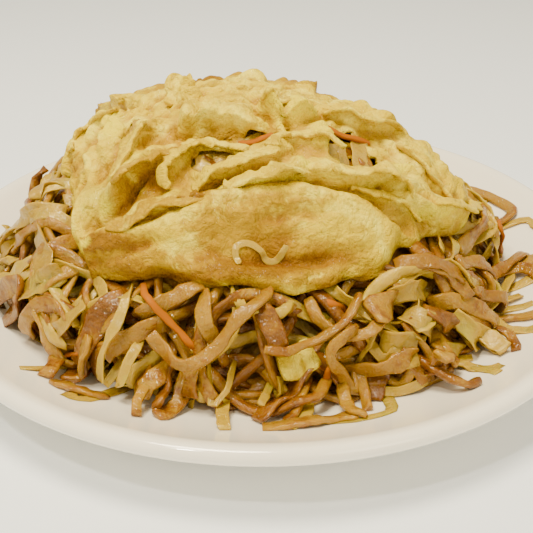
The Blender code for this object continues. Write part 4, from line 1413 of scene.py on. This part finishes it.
def pancake_material():
    made, tree, base = shader("fried_pancake")
    place = object_coordinates(tree)
    freckle = noise_node(tree, 420, 4, 0.65, 0.2, place)
    blotch = noise_node(tree, 120, 4, 0.6, 0.5, place)
    tone = attribute(tree, "tone")
    light = mix(tree, tone, PANCAKE_PALE, PANCAKE_TAN)
    brown = plus(tree, attribute(tree, "brown"), blotch, 2.4)
    brown = plus(tree, brown, freckle, 1.6)
    golden = mix(tree, ramp(tree, brown, 2.15, 2.75), light, PANCAKE_GOLDEN)
    fried = mix(tree, ramp(tree, brown, 2.65, 3.05), golden, PANCAKE_FRIED)
    finish_with(tree, base, fried, 0.4, 0.35)
    oil(tree, base, place, 0.7)
    soften(base, 0.45, (1.0, 0.42, 0.08), 2.2 * MM)
    bump(tree, base, math_node(tree, "ADD", blotch, freckle), 0.7, 1.2 * MM)
    return made


def cabbage_material():
    made, tree, base = shader("pale_cabbage")
    place = object_coordinates(tree)
    patch = noise_node(tree, 70, 3, 0.5, 0.3, place)
    tone = attribute(tree, "tone")
    pale = mix(tree, tone, CABBAGE_PALE, CABBAGE_TAN)
    green = mix(tree, ramp(tree, patch, 0.52, 0.78), pale, CABBAGE_GREEN)
    dull = mix(tree, attribute(tree, "brown"), green, CABBAGE_DULL)
    finish_with(tree, base, dull, 0.35)
    oil(tree, base, place, 0.6)
    soften(base, 0.5, (1.0, 0.7, 0.1), 2.2 * MM)
    bump(tree, base, noise_node(tree, 320, 3, 0.5, 0.0, place), 0.7, 1.2 * MM)
    return made


def carrot_material():
    made, tree, base = shader("carrot")
    place = object_coordinates(tree)
    patch = noise_node(tree, 120, 3, 0.5, 0.2, place)
    colour = mix(tree, patch, CARROT_LIGHT, CARROT_DARK)
    finish_with(tree, base, colour, 0.5, 0.1)
    return made


def core_material():
    made, tree, base = shader("heap_inside")
    place = object_coordinates(tree)
    patch = noise_node(tree, 120, 4, 0.6, 0.4, place)
    colour = mix(tree, ramp(tree, patch, 0.35, 0.7), CORE_DARK, CORE_LIGHT)
    finish_with(tree, base, colour, 0.6)
    return made


def glaze_material():
    made, _, base = shader("white_glaze")
    base.inputs["Base Color"].default_value = (*GLAZE_WHITE, 1)
    base.inputs["Roughness"].default_value = 0.12
    base.inputs["Coat Weight"].default_value = 0.5
    base.inputs["Coat Roughness"].default_value = 0.05
    return made


# Stage -------------------------------------------------------------------------------------------


def make_floor():
    bpy.ops.mesh.primitive_plane_add(size=6, location=(0, 0, 0))
    floor = bpy.context.object
    floor.name = "floor"
    made, _, base = shader("floor")
    base.inputs["Base Color"].default_value = (*FLOOR_WHITE, 1)
    base.inputs["Roughness"].default_value = 0.9
    floor.data.materials.append(made)


# Lamps: name, place, size, power in watts and colour. All of them point at one place.
LAMPS = [
    ("key", (-0.15, -0.05, 0.95), 0.35, 14.0, WARM_LIGHT),
    ("sparkle", (-0.2, -0.32, 0.62), 0.05, 2.0, SPARKLE_LIGHT),
    ("fill", (0.5, -0.8, 0.55), 0.5, 3.0, WARM_LIGHT),
]
LAMP_TARGET = (0, 0, 0.05)
ROOM_STRENGTH = 0.80


def add_light(name, place, size, power, colour):
    data = bpy.data.lights.new(name, "AREA")
    data.shape = "DISK"
    data.size = size
    data.energy = power
    data.color = colour
    lamp = bpy.data.objects.new(name, data)
    lamp.location = place
    lamp.rotation_euler = (Vector(LAMP_TARGET) - Vector(place)).to_track_quat("-Z", "Y").to_euler()
    bpy.context.scene.collection.objects.link(lamp)


def make_light():
    world = bpy.data.worlds.new("studio")
    bpy.context.scene.world = world
    world.use_nodes = True
    back = world.node_tree.nodes["Background"]
    back.inputs["Color"].default_value = (*ROOM_LIGHT, 1)
    back.inputs["Strength"].default_value = ROOM_STRENGTH
    for lamp in LAMPS:
        add_light(*lamp)


# Build -------------------------------------------------------------------------------------------


def build():
    rng = np.random.default_rng(SEED)
    egg = egg_material()
    pancake = pancake_material()
    cabbage = cabbage_material()
    carrot = carrot_material()
    bundles = {kind: Bundle() for kind in ("pancake", "cabbage", "carrot", "egg")}
    pile = Pile()
    lay_loose(rng, pile, bundles)
    lay_from_photo(rng, pile, bundles)
    lay_in_tears(rng, bundles)
    lay_flaps(rng, bundles)
    core = make_core(core_material())
    pieces = {
        "pancake_shreds": (bundles["pancake"], pancake, "fried_pancake"),
        "cabbage_shreds": (bundles["cabbage"], cabbage, "pale_cabbage"),
        "carrot_shreds": (bundles["carrot"], carrot, "carrot"),
        "egg_scraps": (bundles["egg"], egg, "fried_egg"),
    }
    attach(core, "root")
    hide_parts("shredded_pancake")
    for name, (bundle, finish, slot) in pieces.items():
        piece = bundle.build(name, finish)
        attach(piece, "root")
    sheet = make_omelette(egg)
    solid = sheet.modifiers.new("thickness", "SOLIDIFY")
    solid.thickness = SHEET_THICKNESS
    solid.offset = -1
    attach(sheet, "root")
    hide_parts("omelette")

    for name, finish, slot in (
        ("cabbage_curl", cabbage, "pale_cabbage"),
        ("carrot_left", carrot, "carrot"),
        ("carrot_right", carrot, "carrot"),
    ):
        topping = make_topping(name, finish, rng)
        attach(topping, "root")
        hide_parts(name)

    plate = make_plate(glaze_material())
    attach(plate, "root")
    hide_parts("plate")


make_camera()
make_floor()
make_light()
build()
